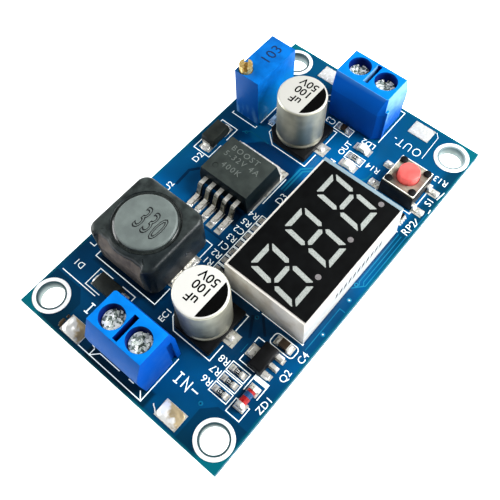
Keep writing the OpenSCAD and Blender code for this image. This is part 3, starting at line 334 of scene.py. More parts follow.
def terminal_finish(side, walls, end_wall, end_foot_shade, glare=0.0, edge_light=0.0):
    """Blue moulding with painted light and shade: lighter level faces, darker walls, and dark wells and
    slot where little light falls.

    The end wall can take painted shade below a step, the near wall a painted pale reflection of glare, and
    the eased edges a painted highlight.
    """
    f = Finish(f"{side}_terminal_blue", Specular_IOR_Level=0.07)
    low, high = span(f"{side}_terminal_housing")
    middle = (low + high) / 2
    x, y, z = f.axes()
    skin = f.cloud(0.1)
    lumps = f.rise(f.cloud(1.6, 3.0), 0.35, 0.65)
    slot_half, slot_reach = 0.42, 2.3
    sunk = (abs(y - middle.y) < slot_half) * (abs(x - middle.x) < slot_reach)
    for pole in POLES:
        sunk = sunk.over(distance_squared(x, y, centre(f"{side}_{pole}_screw")) < WELL_R ** 2)
    level = f.rise(f.facing(), 0.5, 0.8)
    shade = sunk * (1 - level) * f.band((high.z - z) * 0.5, (0.0, 0.6), (0.3, 0.97))
    end = f.mix(z > high.z - STEP_DOWN, end_foot_shade, end_wall)
    height = height_share(z, low, high) + (f.cloud(1.2, 3.0) - 0.5) * 0.7
    pale = f.band(height, (0.2, 0.05), (0.85, 1.0)) * (f.facing("Y") < -0.5) * (1 - sunk) * glare
    # Painted shade on the walls and, below the step, on the end wall; a painted pale glare on the near
    # wall.
    wall = f.mix(f.rise(f.facing("X") * -1, 0.2, 0.5), f.mix(pale, walls, "7db4de"), end)
    # Painted highlight along the eased edges.
    edges = f.band(f.facing(), (0.25, 0.0), (0.4, 1.0), (0.9, 1.0), (0.97, 0.0))
    lit = edges * (1 - sunk) * edge_light
    outer = f.mix(lit, f.mix(level, wall, f.mix(lumps, "0a7ed6", "0c88e0")), "8cc8f4")
    f.set(Base_Color=f.mix(shade, outer, "06246e"),
          Roughness=0.45 + (skin - 0.5) * 0.16 + (lumps - 0.5) * 0.08,
          Normal=f.bump(skin, 0.006))
    return f


def trimmer_finish():
    """Blue moulding with painted shade on its input-end wall, smeared pale low down, and painted light at
    the near wall's foot.
    """
    f = Finish("trimmer_blue", Specular_IOR_Level=0.15)
    height = height_share(f.axes("Z")[0], *span("trimmer_housing"))
    lumps = f.rise(f.cloud(1.6, 3.0), 0.35, 0.65)
    skin = f.cloud(0.12)
    smeared = f.rise(f.cloud(1.1, 3.0, (1.0, 1.0, 0.4)), 0.48, 0.66, 0.5)
    smear = smeared * f.fall(height, 0.05, 0.4)
    lit_foot = f.fall(height, 0.1, 0.75, 0.9) * (f.facing("Y") < -0.5)
    blue = f.mix(lumps, "0866b3", "0a76ca")
    # Painted shade on the input-end wall and painted light at the near wall's foot.
    walls = f.mix(f.facing("X") < -0.5, f.mix(lit_foot, blue, "10aefa"), "0559a6")
    f.set(Base_Color=f.mix(smear, walls, "86bbdf"),
          Roughness=0.4 + (skin - 0.5) * 0.16 + smear * 0.2,
          Normal=f.bump(skin, 0.006))
    return f


def board_finish():
    """Blue solder mask, paler or deeper from zone to zone, with painted shadows beside the regulator's
    tab, the input terminal, the regulator's leads and the inductor's foot, a teal rim, and laminate on the
    cut with painted light and shade.
    """
    f = Finish("solder_mask", Coat_Weight=0.08, Coat_Roughness=0.14, Specular_IOR_Level=0.2)
    x, y = f.axes("XY")
    speck = f.cloud(0.5, 3.0)
    broad = f.rise(f.cloud(13.0, 2.0), 0.36, 0.64)

    # How far inside each zone a point lies
    slant = 0.7
    pour_x, pour_y, pour_cut = 26.1, 12.1, 40.0
    input_pour = (x * -1 - pour_x).under(abs(y) - pour_y).under((abs(y) - x - pour_cut) * slant)
    patch_at, patch_most, patch_fall = (13.7, 11.2), 2.3, 0.4
    by_trimmer = patch_most - distance_squared(x, y, patch_at) * patch_fall
    # Painted shadow beside the regulator's tab
    tab_x0, tab_x1, tab_y, tab_cut = 8.3, 12.75, 1.9, 22.4
    tab_shadow = within(x, y, tab_x0, tab_y, tab_x1, HALF_W).under((tab_cut - x - y) * slant)
    shade_start, shade_run, shade_lean = 17.0, 16.0, 0.1
    input_edge = (y * shade_lean - x - shade_start) * (1 / shade_run)
    # Painted shadow of the input terminal on the board
    terminal_x, terminal_half = 30.4, 6.0
    terminal_shadow = (x * -1 - terminal_x).under(terminal_half - abs(y))
    # Painted shadow under the regulator's leads
    lead_low, lead_high = span("regulator_leads")
    lead_in, lead_near, lead_far = 1.3, 1.1, 0.5
    lead_shadow = within(x, y, lead_low.x + lead_in, lead_low.y - lead_near,
                      lead_high.x, lead_high.y + lead_far)
    # Painted shadow at the inductor's foot
    shield_low, shield_high = span("inductor_shield")
    shield_out, shield_near, shield_in = 1.5, 1.0, 3.0
    shield_shadow = within(x, y, shield_low.x - shield_out, shield_low.y - shield_near,
                       shield_low.x + shield_in, shield_high.y)
    border, corner_cut, corner_slant = 0.45, 5.0, 0.35
    edge = (abs(x) - (HALF_L - border)).over(abs(y) - (HALF_W - border))
    corner = (abs(x) + abs(y) - (HALF_L + HALF_W - corner_cut)) * corner_slant
    rim = edge.over(corner) + (f.cloud(2.5) - 0.5) * 0.4

    # Zones that follow the board's own edges
    along, across = x * (1 / HALF_L), y * (1 / HALF_W)
    far_edge = f.rise(across, 0.62, 0.95, 0.5) * f.rise(x * 0.1 + 0.5, 0.1, 0.7)
    display_edge = f.rise(across * -1, 0.86, 0.92) * f.band(along, (0.0, 0.1), (0.35, 0.9))

    # The share and colour of each zone, one laid over the other; the tab, terminal, lead and shield zones
    # are painted shadows
    mask = f.mix(broad, "01436a", "01659e")
    for share, shade in (
            (f.rise(along * 0.5 + 0.5, 0.76, 0.95, 0.9), "035273"),
            (f.rise(input_pour + 0.5, 0.46, 0.54, 0.6), "033150"),
            (f.rise(by_trimmer, 0.0, 1.0, 0.65), "0a78a6"),
            (f.rise(tab_shadow + (f.cloud(3.0) - 0.5) * 1.2 + 0.5, 0.4, 0.8, 0.7), "021f47"),
            (far_edge, "054355"),
            (f.rise(input_edge, 0.0, 1.0, 0.7), "03323f"),
            (f.rise(terminal_shadow + 0.5, 0.3, 0.7, 0.7), "032028"),
            (f.rise(lead_shadow + 0.5, 0.3, 1.0, 0.85), "010d1c"),
            (f.rise(shield_shadow * 0.7 + 0.2, 0.2, 0.9, 0.85), "010c14"),
            (display_edge, "00405a"),
            (f.rise(rim, 0.0, 0.5), "056a78")):
        mask = f.mix(share, mask, shade)

    layers = f.band(f.cloud(0.16, 2.0, (0.05, 0.05, 1.0)), (0.35, "54706a"), (0.65, "8ea797"))
    # Painted light and shade on the cut: paler where it faces the input's end, darker and bluer on the
    # near side.
    layers = f.mix(f.facing("X") < -0.5, layers, f.mix(speck, "b4cabf", "eef6ee"))
    layers = f.mix(f.facing("Y") < -0.5, layers, f.mix(speck, "0f4a60", "1c6a80"))
    cut = abs(f.facing()) < 0.5
    f.set(Base_Color=f.mix(cut, mask, layers),
          Roughness=0.26 + (speck - 0.5) * 0.05 + cut * 0.45,
          Normal=f.bump(speck * 0.05 + broad * 0.95, 0.02))
    return f


def relief_finish(name, light, dark):
    """Solder mask that runs over a copper track or down into the gap beside one."""
    f = Finish(name, Coat_Weight=0.08, Coat_Roughness=0.14, Specular_IOR_Level=0.2)
    speck = f.cloud(0.45, 3.0)
    f.set(Base_Color=f.patchy(f.cloud(5.0), dark, light),
          Roughness=0.24 + (speck - 0.5) * 0.12,
          Normal=f.bump(speck, 0.004))
    return f


def ink(name, light, dark, rough=0.6, glow=0.0, sheen=0.5):
    """Printed ink, a little thin in places, with a faint glow of painted light where glow is set."""
    f = Finish(name, Emission_Color=light, Emission_Strength=glow, Specular_IOR_Level=sheen)
    thin = f.cloud(0.35, 4.0)
    f.set(Base_Color=f.patchy(thin, dark, light, 0.25, 0.5),
          Roughness=rough + (thin - 0.5) * 0.2,
          Normal=f.bump(thin, 0.006))
    return f


def can_finish():
    """Satin aluminium, drawn upward and darker toward the foot.

    The lacquered top is pale, and a little greyer on the output's can.
    """
    f = Finish("can_aluminium")
    x, z = f.axes("XZ")
    drawn = f.cloud(0.22, 3.0, (1.0, 1.0, 0.08))
    haze = f.cloud(2.2, 2.0)
    lid = f.facing() > 0.8
    lacquer = f.mix(x > 0.0, "e4e4df", "cdcdc7")
    foot = f.fall(height_share(z, *span("input_capacitor_can")), 0.12, 0.85, 0.6)
    side = f.mix(foot, f.patchy(haze, "bab9a8", "d2d1c1"), "66675e")
    f.set(Base_Color=f.mix(lid, side, lacquer),
          Metallic=0.8 - lid * 0.58,
          Roughness=0.42 + (drawn - 0.5) * 0.16 + lid * 0.1,
          Normal=f.bump(drawn, 0.006))
    return f


def core_finish():
    """Pressed ferrite: dull, with a peppering of pores and rubbed patches."""
    f = Finish("core_ferrite")
    rub = f.cloud(1.8, 4.0)
    grain = f.cloud(0.14, 3.0)
    pit = f.fall(f.cells("Distance"), 0.0, 0.09)
    worn = f.patchy(rub, "6b7472", "78827f", 0.4, 0.68)
    f.set(Base_Color=f.mix(pit * 0.5, worn, "1d1f1f"),
          Roughness=0.5 + (rub - 0.5) * 0.22 + (grain - 0.5) * 0.12,
          Normal=f.bump(grain * 0.6 + rub * 0.7 - pit * 0.5, 0.03))
    return f


def shield_finish():
    """Pressed ferrite under a dark lacquer, bare and brownish in the hollow of the input's end.

    The lacquer takes painted shade toward the foot, on the near wall and at the corner between it and that
    end, and the bare ferrite some toward the foot.
    """
    f = Finish("lacquered_shield", Specular_IOR_Level=0.35)
    low, high = span("inductor_shield")
    middle = (low + high) / 2
    x, y, z = f.axes()
    rub = f.cloud(1.7, 4.0)
    grain = f.cloud(0.14, 3.0)
    bare_half, lacquer_down, corner_out = 4.4, 0.7, 4.5
    ragged = (f.cloud(1.9, 3.0, (1.0, 1.0, 0.1)) - 0.5) * 0.8
    upper = f.rise(z - (high.z - lacquer_down) + ragged + 0.5, 0.46, 0.54)
    in_hollow = f.rise(bare_half - abs(y - middle.y) + ragged + 0.5, 0.4, 0.6)
    coat = upper.over(1 - in_hollow * (f.facing("X") < -0.35))
    rubbed = f.rise(rub, 0.38, 0.66)
    # Painted shade on the near wall, at its corner with the input's end, and toward the foot.
    corner = f.rise(middle.x + middle.y - corner_out - x - y, 0.0, 1.0, 0.45)
    shaded = ((f.facing("Y") < -0.5) * 0.6).over(corner)
    foot = f.fall(height_share(z, low, high), 0.1, 0.6, 0.8)
    plain = f.mix(foot, f.mix(rubbed, "2b3030", "464d4c"), "10151f")
    lacquer = f.mix(shaded, plain, "0b1720")
    bare = f.mix(foot * 0.6, f.mix(rubbed, "5a5450", "756d64"), "1c1a19")
    seam = coat * (1 - coat) * 3.2
    f.set(Base_Color=f.mix(seam, f.mix(coat, bare, lacquer), "0b0c0c"),
          Roughness=0.62 - coat * 0.3 + (rub - 0.5) * 0.2 + (grain - 0.5) * 0.1,
          Normal=f.bump(grain * 0.5 + rub * 0.7 + coat * 0.9, 0.04))
    return f


def plate_finish():
    """Rolled steel plate, dull on its face, with a painted highlight and a faint glow along its rim."""
    f = Finish("switch_plate", Metallic=0.55, Emission_Strength=0.45)
    low, high = span("switch_cover")
    x, y = f.axes("XY")
    rim = 0.14
    rolled = f.cloud(0.8, 3.0, (1.0, 0.15, 1.0))
    # The rim's pale colour and glow are a painted highlight.
    edge = (within(x, y, low.x, low.y, high.x, high.y) < rim) * (f.facing() > 0.3)
    face = f.patchy(rolled, "89877a", "aaa899", 0.3, 0.7)
    f.set(Base_Color=f.mix(edge, face, "fffff8"),
          Emission_Color=f.mix(edge, "000000", "fffff8"),
          Roughness=0.45 + (rolled - 0.5) * 0.25,
          Normal=f.bump(rolled, 0.012))
    return f


def resistor_finish():
    """White alumina with a black glazed top."""
    f = Finish("chip_resistor")
    top = f.facing() > 0.6
    haze = f.cloud(0.3, 2.0)
    f.set(Base_Color=f.mix(top, "e2e1d8", f.mix(haze, "141416", "26272b")),
          Roughness=0.6 - top * 0.35 + (haze - 0.5) * 0.1,
          Normal=f.bump(haze, 0.008))
    return f


def hole_finish():
    """Walls down a drilled hole, with painted light toward the foot and painted shade upward, and a dark
    line round the mouth.

    Both are painted paler, as painted light, at the hole beside the push button.
    """
    f = Finish("hole_edge", Specular_IOR_Level=0.2)
    x, y, z = f.axes()
    drilled = f.cloud(0.3, 2.0, (1.0, 1.0, 0.2))
    button_hole_light = (x > 0.0) * (y < 0.0)
    depth = (TOP - z) * (1 / (TOP - board_low.z))
    # Painted light toward the foot and painted shade up the wall; the hole by the button is painted paler.
    upper = f.mix(button_hole_light, "365054", "6f8486")
    wall = f.mix(f.rise(depth + (drilled - 0.5) * 0.1, 0.1, 0.75), upper, "a9b6b3")
    mouth = f.mix(button_hole_light, "3d5559", "8b9d9f")
    f.set(Base_Color=f.mix(abs(f.facing()) > 0.05, wall, mouth),
          Roughness=0.5 + (drilled - 0.5) * 0.2,
          Normal=f.bump(drilled, 0.01))
    return f


def glass_finish(bands):
    """Red glass with a blue band round each of the places given along X."""
    f = Finish("diode_glass", Coat_Weight=0.3, Coat_Roughness=0.15)
    x = f.axes("X")[0]
    swirl = f.cloud(0.5, 2.0)
    band_half = 0.4
    in_band = reduce(Tone.over, [abs(x - middle) < band_half for middle in bands])
    red = f.patchy(swirl, "8a1014", "c4262a")
    f.set(Base_Color=f.mix(in_band, red, "22507e"),
          Roughness=0.24 + swirl * 0.08,
          Normal=f.bump(swirl, 0.01))
    return f


def shell_finish():
    """Off-white moulding, smudged at the input's end and with a greyer rim at the output's.

    The near wall is painted greyer as painted shade, above a foot painted pale as painted light, with a
    row of slanting dark dashes along it.
    """
    f = Finish("display_white", Coat_Weight=0.05, Coat_Roughness=0.15, Specular_IOR_Level=0.3)
    x, z = f.axes("XZ")
    lumps = f.cloud(1.6, 3.0)
    skin = f.cloud(0.3, 2.0)
    near_wall = f.facing("Y") < -0.6
    dash_pitch, dash_high, dash_slant, dash_half, dash_long = 1.1, TOP + 3.6, 1.4, 0.62, 0.27
    row_middle, row_half = 1.7, 5.7
    place = (x * (1 / dash_pitch)).fraction() - 0.5
    stroke = abs(z - dash_high - place * dash_slant + (f.cloud(3.0) - 0.5) * 0.4) < dash_half
    in_row = (abs(place) < dash_long) * (abs(x - row_middle) < row_half)
    dashes = stroke * in_row * f.band(f.cloud(0.9), (0.35, 0.8), (0.5, 1.0)) * near_wall
    smudge = f.rise(f.cloud(2.4, 3.0, (1.0, 1.0, 0.6)), 0.42, 0.66, 0.5) * (f.facing("X") < -0.6)
    # Painted shade, greyer, on the near wall above painted light, paler, at its foot.
    foot = f.fall((z - TOP) * 0.2, 0.0, 0.6)
    near_wall_light_shade = f.mix(foot, f.mix(lumps, "b4b7b6", "c6c8c7"), "f2eee6")
    white = f.mix(near_wall, f.mix(lumps, "d3d0c9", "e3e1db"), near_wall_light_shade)
    plain = f.mix(smudge, white, "a89c88")
    end_rim = (x > FACE_END) * (f.facing() > 0.6)
    f.set(Base_Color=f.mix(end_rim, f.mix(dashes, plain, "060808"), "8ba0aa"),
          Roughness=0.36 + (skin - 0.5) * 0.16 + dashes * 0.2,
          Normal=f.bump(skin - dashes * 0.5, 0.012))
    return f


def segment_finish(dots):
    """Pale diffusing resin, mottled where light shows through, with pinker and darker points."""
    f = Finish("segment_resin")
    x, y = f.axes("XY")
    mottle = f.cloud(0.16, 3.0)
    dot_reach = 1.0
    in_dot = reduce(Tone.over, [distance_squared(x, y, dot) < dot_reach ** 2 for dot in dots])
    resin = f.band(mottle, (0.3, "8b928e"), (0.7, "b9beba"))
    f.set(Base_Color=f.mix(in_dot, resin, f.band(mottle, (0.3, "6b696a"), (0.7, "8f8b8c"))),
          Roughness=0.45 + (mottle - 0.5) * 0.2,
          Normal=f.bump(mottle, 0.01))
    return f


def pad_solder_finish():
    """Solder with brown flux left on its inner side, past a slanting line on each pad."""
    f = Finish("fluxed_solder", Metallic=0.4)
    x, y = f.axes("XY")
    lumps = f.cloud(0.9, 3.0)
    line, next_line = 21.3, 19.5
    past_line = x - y + line + (y > 0.0) * next_line
    stain = f.rise(past_line * 0.3 + (f.cloud(1.5, 2.0) - 0.5) * 1.4 + 0.5, 0.4, 0.6)
    f.set(Base_Color=f.mix(stain, "f8f8f3", "b7a684"),
          Roughness=0.25 + lumps * 0.25 + stain * 0.1,
          Normal=f.bump(lumps, 0.03))
    return f


finishes = {
    "mask": board_finish(),
    "track": relief_finish("mask_on_track", "1c82a6", "0f6c92"),
    "gap": relief_finish("mask_in_gap", "024068", "013558"),
    # The silkscreen's glow is painted light that keeps it bright in shade.
    "silk": ink("white_silkscreen", "f6fefe", "dcecee", glow=0.28),
    "ring": ink("white_hole_ring", "ffffff", "f0f3f3"),
    "tin": metal("bright_tin", "f8f7f2", "d8d6cc", lump=0.6, depth=0.02, gleam=0.55),
    "solder": metal("bright_solder", "ffffff", "e6e6e0", rough=0.24, lump=0.45, depth=0.008, gleam=0.35),
    "pad_solder": pad_solder_finish(),
    "flux": moulded("flux_residue", "4c3c22", "2a2114", rough=0.35),
    # The last three colours of each terminal are painted shades for its walls and its end wall above and
    # below the step; glare and edge light are painted light.
    "input_blue": terminal_finish("input", "0454ae", "0459a6", "04539e"),
    "output_blue": terminal_finish("output", "0b62c4", "0868c8", "075eba", glare=0.85, edge_light=0.6),
    "zinc": zinc_finish(),
    "can": can_finish(),
    "print_black": ink("black_print", "030303", "0a0a0b", sheen=0.1),
    "black": moulded("black_moulding", "17181a", "0d0e0f", rough=0.46, sheen=0.25),
    "rectifier": moulded("rectifier_epoxy", "343935", "262a28", rough=0.5, sheen=0.25),
    "epoxy": epoxy_finish(),
    "lead": lead_finish(),
    "epoxy_mark": ink("faint_marking", "6a716d", "565d59", rough=0.55),
    "shield": shield_finish(),
    "core": core_finish(),
    "glue": moulded("dark_glue", "303635", "222726", rough=0.26, grain=0.3, depth=0.03,
                    coat=0.2, sheen=0.45),
    "core_mark": ink("core_marking", "171b1c", "222727", rough=0.5),
    "copper": metal("copper_wire", "d08850", "a65f30", lump=0.4, depth=0.02, stretch=(1.0, 1.0, 6.0)),
    "trimmer": trimmer_finish(),
    "trimmer_mark": ink("trimmer_print", "0b2c55", "0f3866", rough=0.55),
    "brass": metal("bright_brass", "fbe6a6", "c09540", rough=0.2, lump=0.35, depth=0.03, gleam=0.6),
    "nylon": moulded("nylon_wheel", "e8e2cf", "d5cdb6", rough=0.5),
    "alumina": moulded("alumina_plate", "eceae2", "dad6ca", rough=0.6),
    "plate": plate_finish(),
    "coral": moulded("coral_button", "f0736e", "e4625e", rough=0.42, grain=0.14, depth=0.01, sheen=0.35),
    "white": shell_finish(),
    "face": moulded("display_film", "0e1011", "090a0b", grain=0.07, depth=0.01, sheen=0.2),
    "laminate": moulded("bare_laminate", "cfc290", "bcae7a", rough=0.6),
    "resistor": resistor_finish(),
    "resistor_mark": ink("resistor_marking", "e9ece9", "b9bebc"),
    "ceramic": moulded("brown_ceramic", "4b3a25", "372a1b", rough=0.45, grain=0.1),
    "hole_edge": hole_finish(),
    "lamp": moulded("lamp_resin", "fffef6", "f2f0dc", rough=0.2, grain=0.3, depth=0.01, coat=0.6),
    "lamp_base": moulded("lamp_base", "f8f8f3", "e4e4dc", rough=0.45),
}


# Mesh making

WELD, CREASE, PRESSED_CREASE, SOLDER_CREASE = 1e-4, 32, 40, 60
EDGE_ANGLE, FLAT_ANGLE = math.radians(38), math.radians(0.5)


def new_object(name, data):
    """An object in the scene that shows a mesh or lettering, or is a light or a camera."""
    made = bpy.data.objects.new(name, data)
    scene.collection.objects.link(made)
    return made


def welded(mesh, distance=WELD * MM):
    """A mesh taken up for editing, with its doubled corners joined."""
    bm = bmesh.new()
    bm.from_mesh(mesh)
    bmesh.ops.remove_doubles(bm, verts=bm.verts, dist=distance)
    return bm


class Shape:
    """Corners in millimetres and faces, gathered from several forms."""

    def __init__(self):
        self.corners, self.faces = [], []

    def add(self, corners, faces):
        """Takes in one more form."""
        start = len(self.corners)
        self.corners += [tuple(c) for c in corners]
        self.faces += [[start + i for i in face] for face in faces]
        return self

    def piece(self, name, slot, finish_name, stands_for=(), crease=CREASE):
        """Turns the shape into a piece that rides on the board."""
        mesh = bpy.data.meshes.new(name)
        mesh.from_pydata([Vector(c) * MM for c in self.corners], [], self.faces)
        settle(mesh, name, finish_name, BODY, stands_for, crease)


def settle(mesh, name, finish_name, body, stands_for, crease):
    """Welds a mesh, turns its faces outward, smooths it up to a crease and lets it ride on a body."""
    bm = welded(mesh)
    bmesh.ops.recalc_face_normals(bm, faces=bm.faces)
    bm.to_mesh(mesh)
    bm.free()
    mesh.materials.append(finishes[finish_name].material)
    mesh.shade_smooth()
    mesh.set_sharp_from_angle(angle=math.radians(crease))
    piece = new_object(name, mesh)
    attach(piece, body)
    if stands_for:
        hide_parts(*stands_for)


def ring(x, y, z, half_x, half_y, corner, steps=8):
    """One loop of a rounded rectangle, which is a circle where its corner is as large as its halves."""
    loop = []
    for side_x, side_y, start in ((1, 1, 0), (-1, 1, 90), (-1, -1, 180), (1, -1, 270)):
        for k in range(steps + 1):
            a = math.radians(start + 90 * k / steps)
            loop.append((x + side_x * (half_x - corner) + corner * math.cos(a),
                         y + side_y * (half_y - corner) + corner * math.sin(a), z))
    return loop


def hoop(x, y, z, radius, steps=12):
    """One round loop."""
    return ring(x, y, z, radius, radius, radius, steps)


def loft(loops, closed=False):
    """Corners and faces of a skin over loops of one length, capped at both ends or joined to itself."""
    n = len(loops[0])
    corners = [c for loop in loops for c in loop]
    pairs = [(i, i + 1) for i in range(len(loops) - 1)]
    if closed:
        pairs.append((len(loops) - 1, 0))
    faces = []
    for i, j in pairs:
        for k in range(n):
            after = (k + 1) % n
            faces.append([i * n + k, i * n + after, j * n + after, j * n + k])
    if not closed:
        faces.append(list(range(n))[::-1])
        faces.append([(len(loops) - 1) * n + k for k in range(n)])
    return corners, faces


def ribbon(path, width, low, high, loop=False):
    """Corners and faces of a flat raised line of one width along points on the board."""
    points, sharpest = [Vector(p) for p in path], 0.35
    n = len(points)
    edges = []
    for i, p in enumerate(points):
        before = points[i - 1] if loop or i else None
        after = points[(i + 1) % n] if loop or i < n - 1 else None
        arms = [(p - before).normalized()] if before is not None else []
        arms += [(after - p).normalized()] if after is not None else []
        sides = [Vector((-a.y, a.x)) for a in arms]
        mitre = sum(sides, Vector((0, 0))).normalized()
        reach = width / 2 / max(sharpest, mitre.dot(sides[0]))
        edges.append((p + mitre * reach, p - mitre * reach))
    corners = [(e.x, e.y, z) for left, right in edges for e in (left, right) for z in (low, high)]
    faces = []
    for i in range(n if loop else n - 1):
        a, b = 4 * i, 4 * ((i + 1) % n)
        faces += [[a + 1, b + 1, b + 3, a + 3], [a, a + 2, b + 2, b],
                  [a, b, b + 1, a + 1], [a + 2, a + 3, b + 3, b + 2]]
    if not loop:
        end = 4 * (n - 1)
        faces += [[0, 1, 3, 2], [end, end + 2, end + 3, end + 1]]
    return corners, faces


def box_path(x0, y0, x1, y1):
    """The corners of a rectangle."""
    return [(x0, y0), (x1, y0), (x1, y1), (x0, y1)]


CAP_SHARE, STROKE_SHARE = 0.682, 0.098


def lettering(text, height, at, reading, low, high, stroke, spacing=1.0, hollow=False, narrow=1.0):
    """Corners and faces of lettering that reads along an angle on a level face, solid or as an outline."""
    size = height / CAP_SHARE
    curve = bpy.data.curves.new("lettering", "FONT")
    curve.body, curve.size, curve.space_character = text, size, spacing
    curve.resolution_u = 3
    if hollow:
        curve.fill_mode, curve.bevel_depth, curve.bevel_resolution = "NONE", stroke / 2, 1
    else:
        curve.offset = (stroke - STROKE_SHARE * size) / 2
    holder = new_object("lettering", curve)
    bpy.context.view_layer.update()
    graph = bpy.context.evaluated_depsgraph_get()
    mesh = bpy.data.meshes.new_from_object(holder.evaluated_get(graph))
    bm = welded(mesh, WELD)
    middle = [(min(v.co[i] for v in bm.verts) + max(v.co[i] for v in bm.verts)) / 2 for i in (0, 1)]
    if hollow:
        thick = (high - low) / stroke
        for v in bm.verts:
            v.co.z = (v.co.z + stroke / 2) * thick
    else:
        raised = bmesh.ops.extrude_face_region(bm, geom=bm.faces[:])
        for v in (g for g in raised["geom"] if isinstance(g, bmesh.types.BMVert)):
            v.co.z = high - low
    turn = (Matrix.Translation((at[0], at[1], low)) @ Matrix.Rotation(math.radians(reading), 4, "Z")
            @ Matrix.Diagonal((narrow, 1.0, 1.0, 1.0)) @ Matrix.Translation((-middle[0], -middle[1], 0)))
    bm.verts.index_update()
    corners = [turn @ v.co for v in bm.verts]
    faces = [[v.index for v in face.verts] for face in bm.faces]
    bm.free()
    bpy.data.objects.remove(holder)
    bpy.data.curves.remove(curve)
    bpy.data.meshes.remove(mesh)
    return corners, faces


def pillow(x, y, half_x, half_y, low, rise, lump=0.0, steps=8):
    """Corners and faces of a low solder mound with a rounded outline and an uneven top."""
    bulge, corner_share, lumps_per_mm, least = 0.7, 0.6, 1.3, 0.01
    loops = []
    for k in range(steps + 1):
        a = math.pi / 2 * k / steps
        share, height = math.cos(a) ** bulge, math.sin(a)
        hx, hy = max(half_x * share, least), max(half_y * share, least)
        loop = ring(x, y, low + rise * height, hx, hy, min(hx, hy) * corner_share, 4)
        loops.append([(px, py, pz + lump * height * noise.noise(Vector((px, py, 0)) * lumps_per_mm))
                      for px, py, pz in loop])
    return loft(loops)


def solids(node):
    """The boxes of a node's separate solids, in millimetres, as lowest and highest corner."""
    bm = welded(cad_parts[node].data)
    seen, boxes = set(), []
    for first in bm.verts:
        if first in seen:
            continue
        seen.add(first)
        group, queue = [], [first]
        while queue:
            v = queue.pop()
            group.append(v.co / MM)
            for edge in v.link_edges:
                other = edge.other_vert(v)
                if other not in seen:
                    seen.add(other)
                    queue.append(other)
        boxes.append((Vector(map(min, *group)), Vector(map(max, *group))))
    bm.free()
    return boxes


def dress(finish_name, *nodes):
    """Gives solids that keep their own shape a finish."""
    for node in nodes:
        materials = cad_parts[node].data.materials
        if not materials:
            materials.append(None)
        for slot in range(len(materials)):
            materials[slot] = finishes[finish_name].material


def soften(node, width, finish_name, steps=2, body=BODY):
    """A copy of a solid with its outer edges eased, which stands for it."""
    bm = welded(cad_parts[node].data)
    bmesh.ops.dissolve_limit(bm, angle_limit=FLAT_ANGLE, verts=bm.verts, edges=bm.edges)
    edges = [e for e in bm.edges
             if len(e.link_faces) == 2 and e.is_convex and e.calc_face_angle() > EDGE_ANGLE]
    bmesh.ops.bevel(bm, geom=edges, offset=width * MM, offset_type="OFFSET", segments=steps, profile=0.5,
                    affect="EDGES", clamp_overlap=True)
    name = node + "_eased"
    mesh = bpy.data.meshes.new(name)
    bm.to_mesh(mesh)
    bm.free()
    settle(mesh, name, finish_name, body, (node,), CREASE)


# Solids that keep their own shape

dress("mask", "circuit_board")
dress("tin", "tinned_pads", "switch_legs", "rectifier_leads", "transistor_leads",
      "meter_chip_leads", "input_capacitor_leads", "output_capacitor_leads", "resistor_ends",
      "chip_capacitor_ends", "array_ends", "display_pins", "trimmer_pins", "inductor_clips",
      "glass_diode_caps", "input_terminal_contacts", "output_terminal_contacts")
dress("solder", "solder_joints", "regulator_tab")
dress("lead", "regulator_leads")
dress("copper", "inductor_winding")
dress("can", "input_capacitor_can", "output_capacitor_can")
dress("nylon", "trimmer_wheel")
dress("alumina", "trimmer_plate")
dress("brass", "switch_dome")
dress("laminate", "display_board")
dress("black", "meter_chip_body")
dress("face", "display_face")
dress("resistor", "resistor_bodies", "array_body")
dress("ceramic", "chip_capacitor_bodies")
dress("lamp", "lamp_lenses")
dress("lamp_base", "lamp_bases")
for side in SIDES:
    for pole in POLES:
        dress("zinc", f"{side}_{pole}_clamp")

DOT_MOST, BAND_SHIFT = 1.8, 0.25
dots = [(low + high) / 2 for low, high in solids("display_segments") if max((high - low).xy) < DOT_MOST]
finishes["segment"] = segment_finish(dots)
dress("segment", "display_segments")
bands = [(low.x + high.x) / 2 + BAND_SHIFT for low, high in solids("glass_diode_tubes")]
finishes["glass"] = glass_finish(bands)
dress("glass", "glass_diode_tubes")

# Solids that are shown with their edges eased

for side in SIDES:
    soften(f"{side}_terminal_housing", 0.14, f"{side}_blue", 3)
    soften(f"{side}_capacitor_base", 0.12, "black")
    for pole in POLES:
        soften(f"{side}_{pole}_screw", 0.12, "zinc", 2, f"{side}_{pole}_screw")
soften("regulator_body", 0.12, "epoxy")
soften("trimmer_housing", 0.14, "trimmer", 3)
soften("trimmer_screw", 0.12, "brass", 2, "trimmer_screw")
soften("switch_base", 0.08, "black")
soften("switch_cover", 0.14, "plate")
soften("switch_button", 0.28, "coral", 4, "switch_button")
soften("display_shell", 0.18, "white", 3)
soften("rectifier_bodies", 0.06, "rectifier")
soften("transistor_body", 0.1, "black")

# Inductor: a pressed shield with a round mouth, the core's end in it and a ring of glue between

shield_low, shield_high = span("inductor_shield")
core_low, core_high = span("inductor_core")
INDUCTOR_X, INDUCTOR_Y = centre("inductor_shield").xy
SHIELD_HALF = (shield_high.x - shield_low.x) / 2
SHIELD_CORNER, CORNER_LOSS, SHIELD_EDGE, SHIELD_FOOT, FOOT_INSET = 1.75, 0.4, 0.62, 0.25, 0.18
MOUTH_R, MOUTH_EDGE, MOUTH_DEEP = 5.15, 0.16, 1.6
DISC_R, DISC_EDGE, DISC_THICK = (core_high.x - core_low.x) / 2 - 0.36, 0.34, 1.3
CORE_FOOT_R, CORE_FOOT, CORE_STEM_R, CORE_SLOPE, CORE_LIP = 4.9, 1.2, 2.6, 0.05, 0.1
HOLLOW, HOLLOW_HALF, HOLLOW_RUN, HOLLOW_DEPTH, BARREL_R = 0.75, 4.9, 0.7, 2.4, 6.0
RAYS, GLUE_LUMPS_PER_MM = 192, 0.9


def quarter(steps=5):
    """Sines and cosines of a quarter turn."""
    turns = [math.pi / 2 * k / steps for k in range(steps + 1)]
    return [(math.sin(a), math.cos(a)) for a in turns]


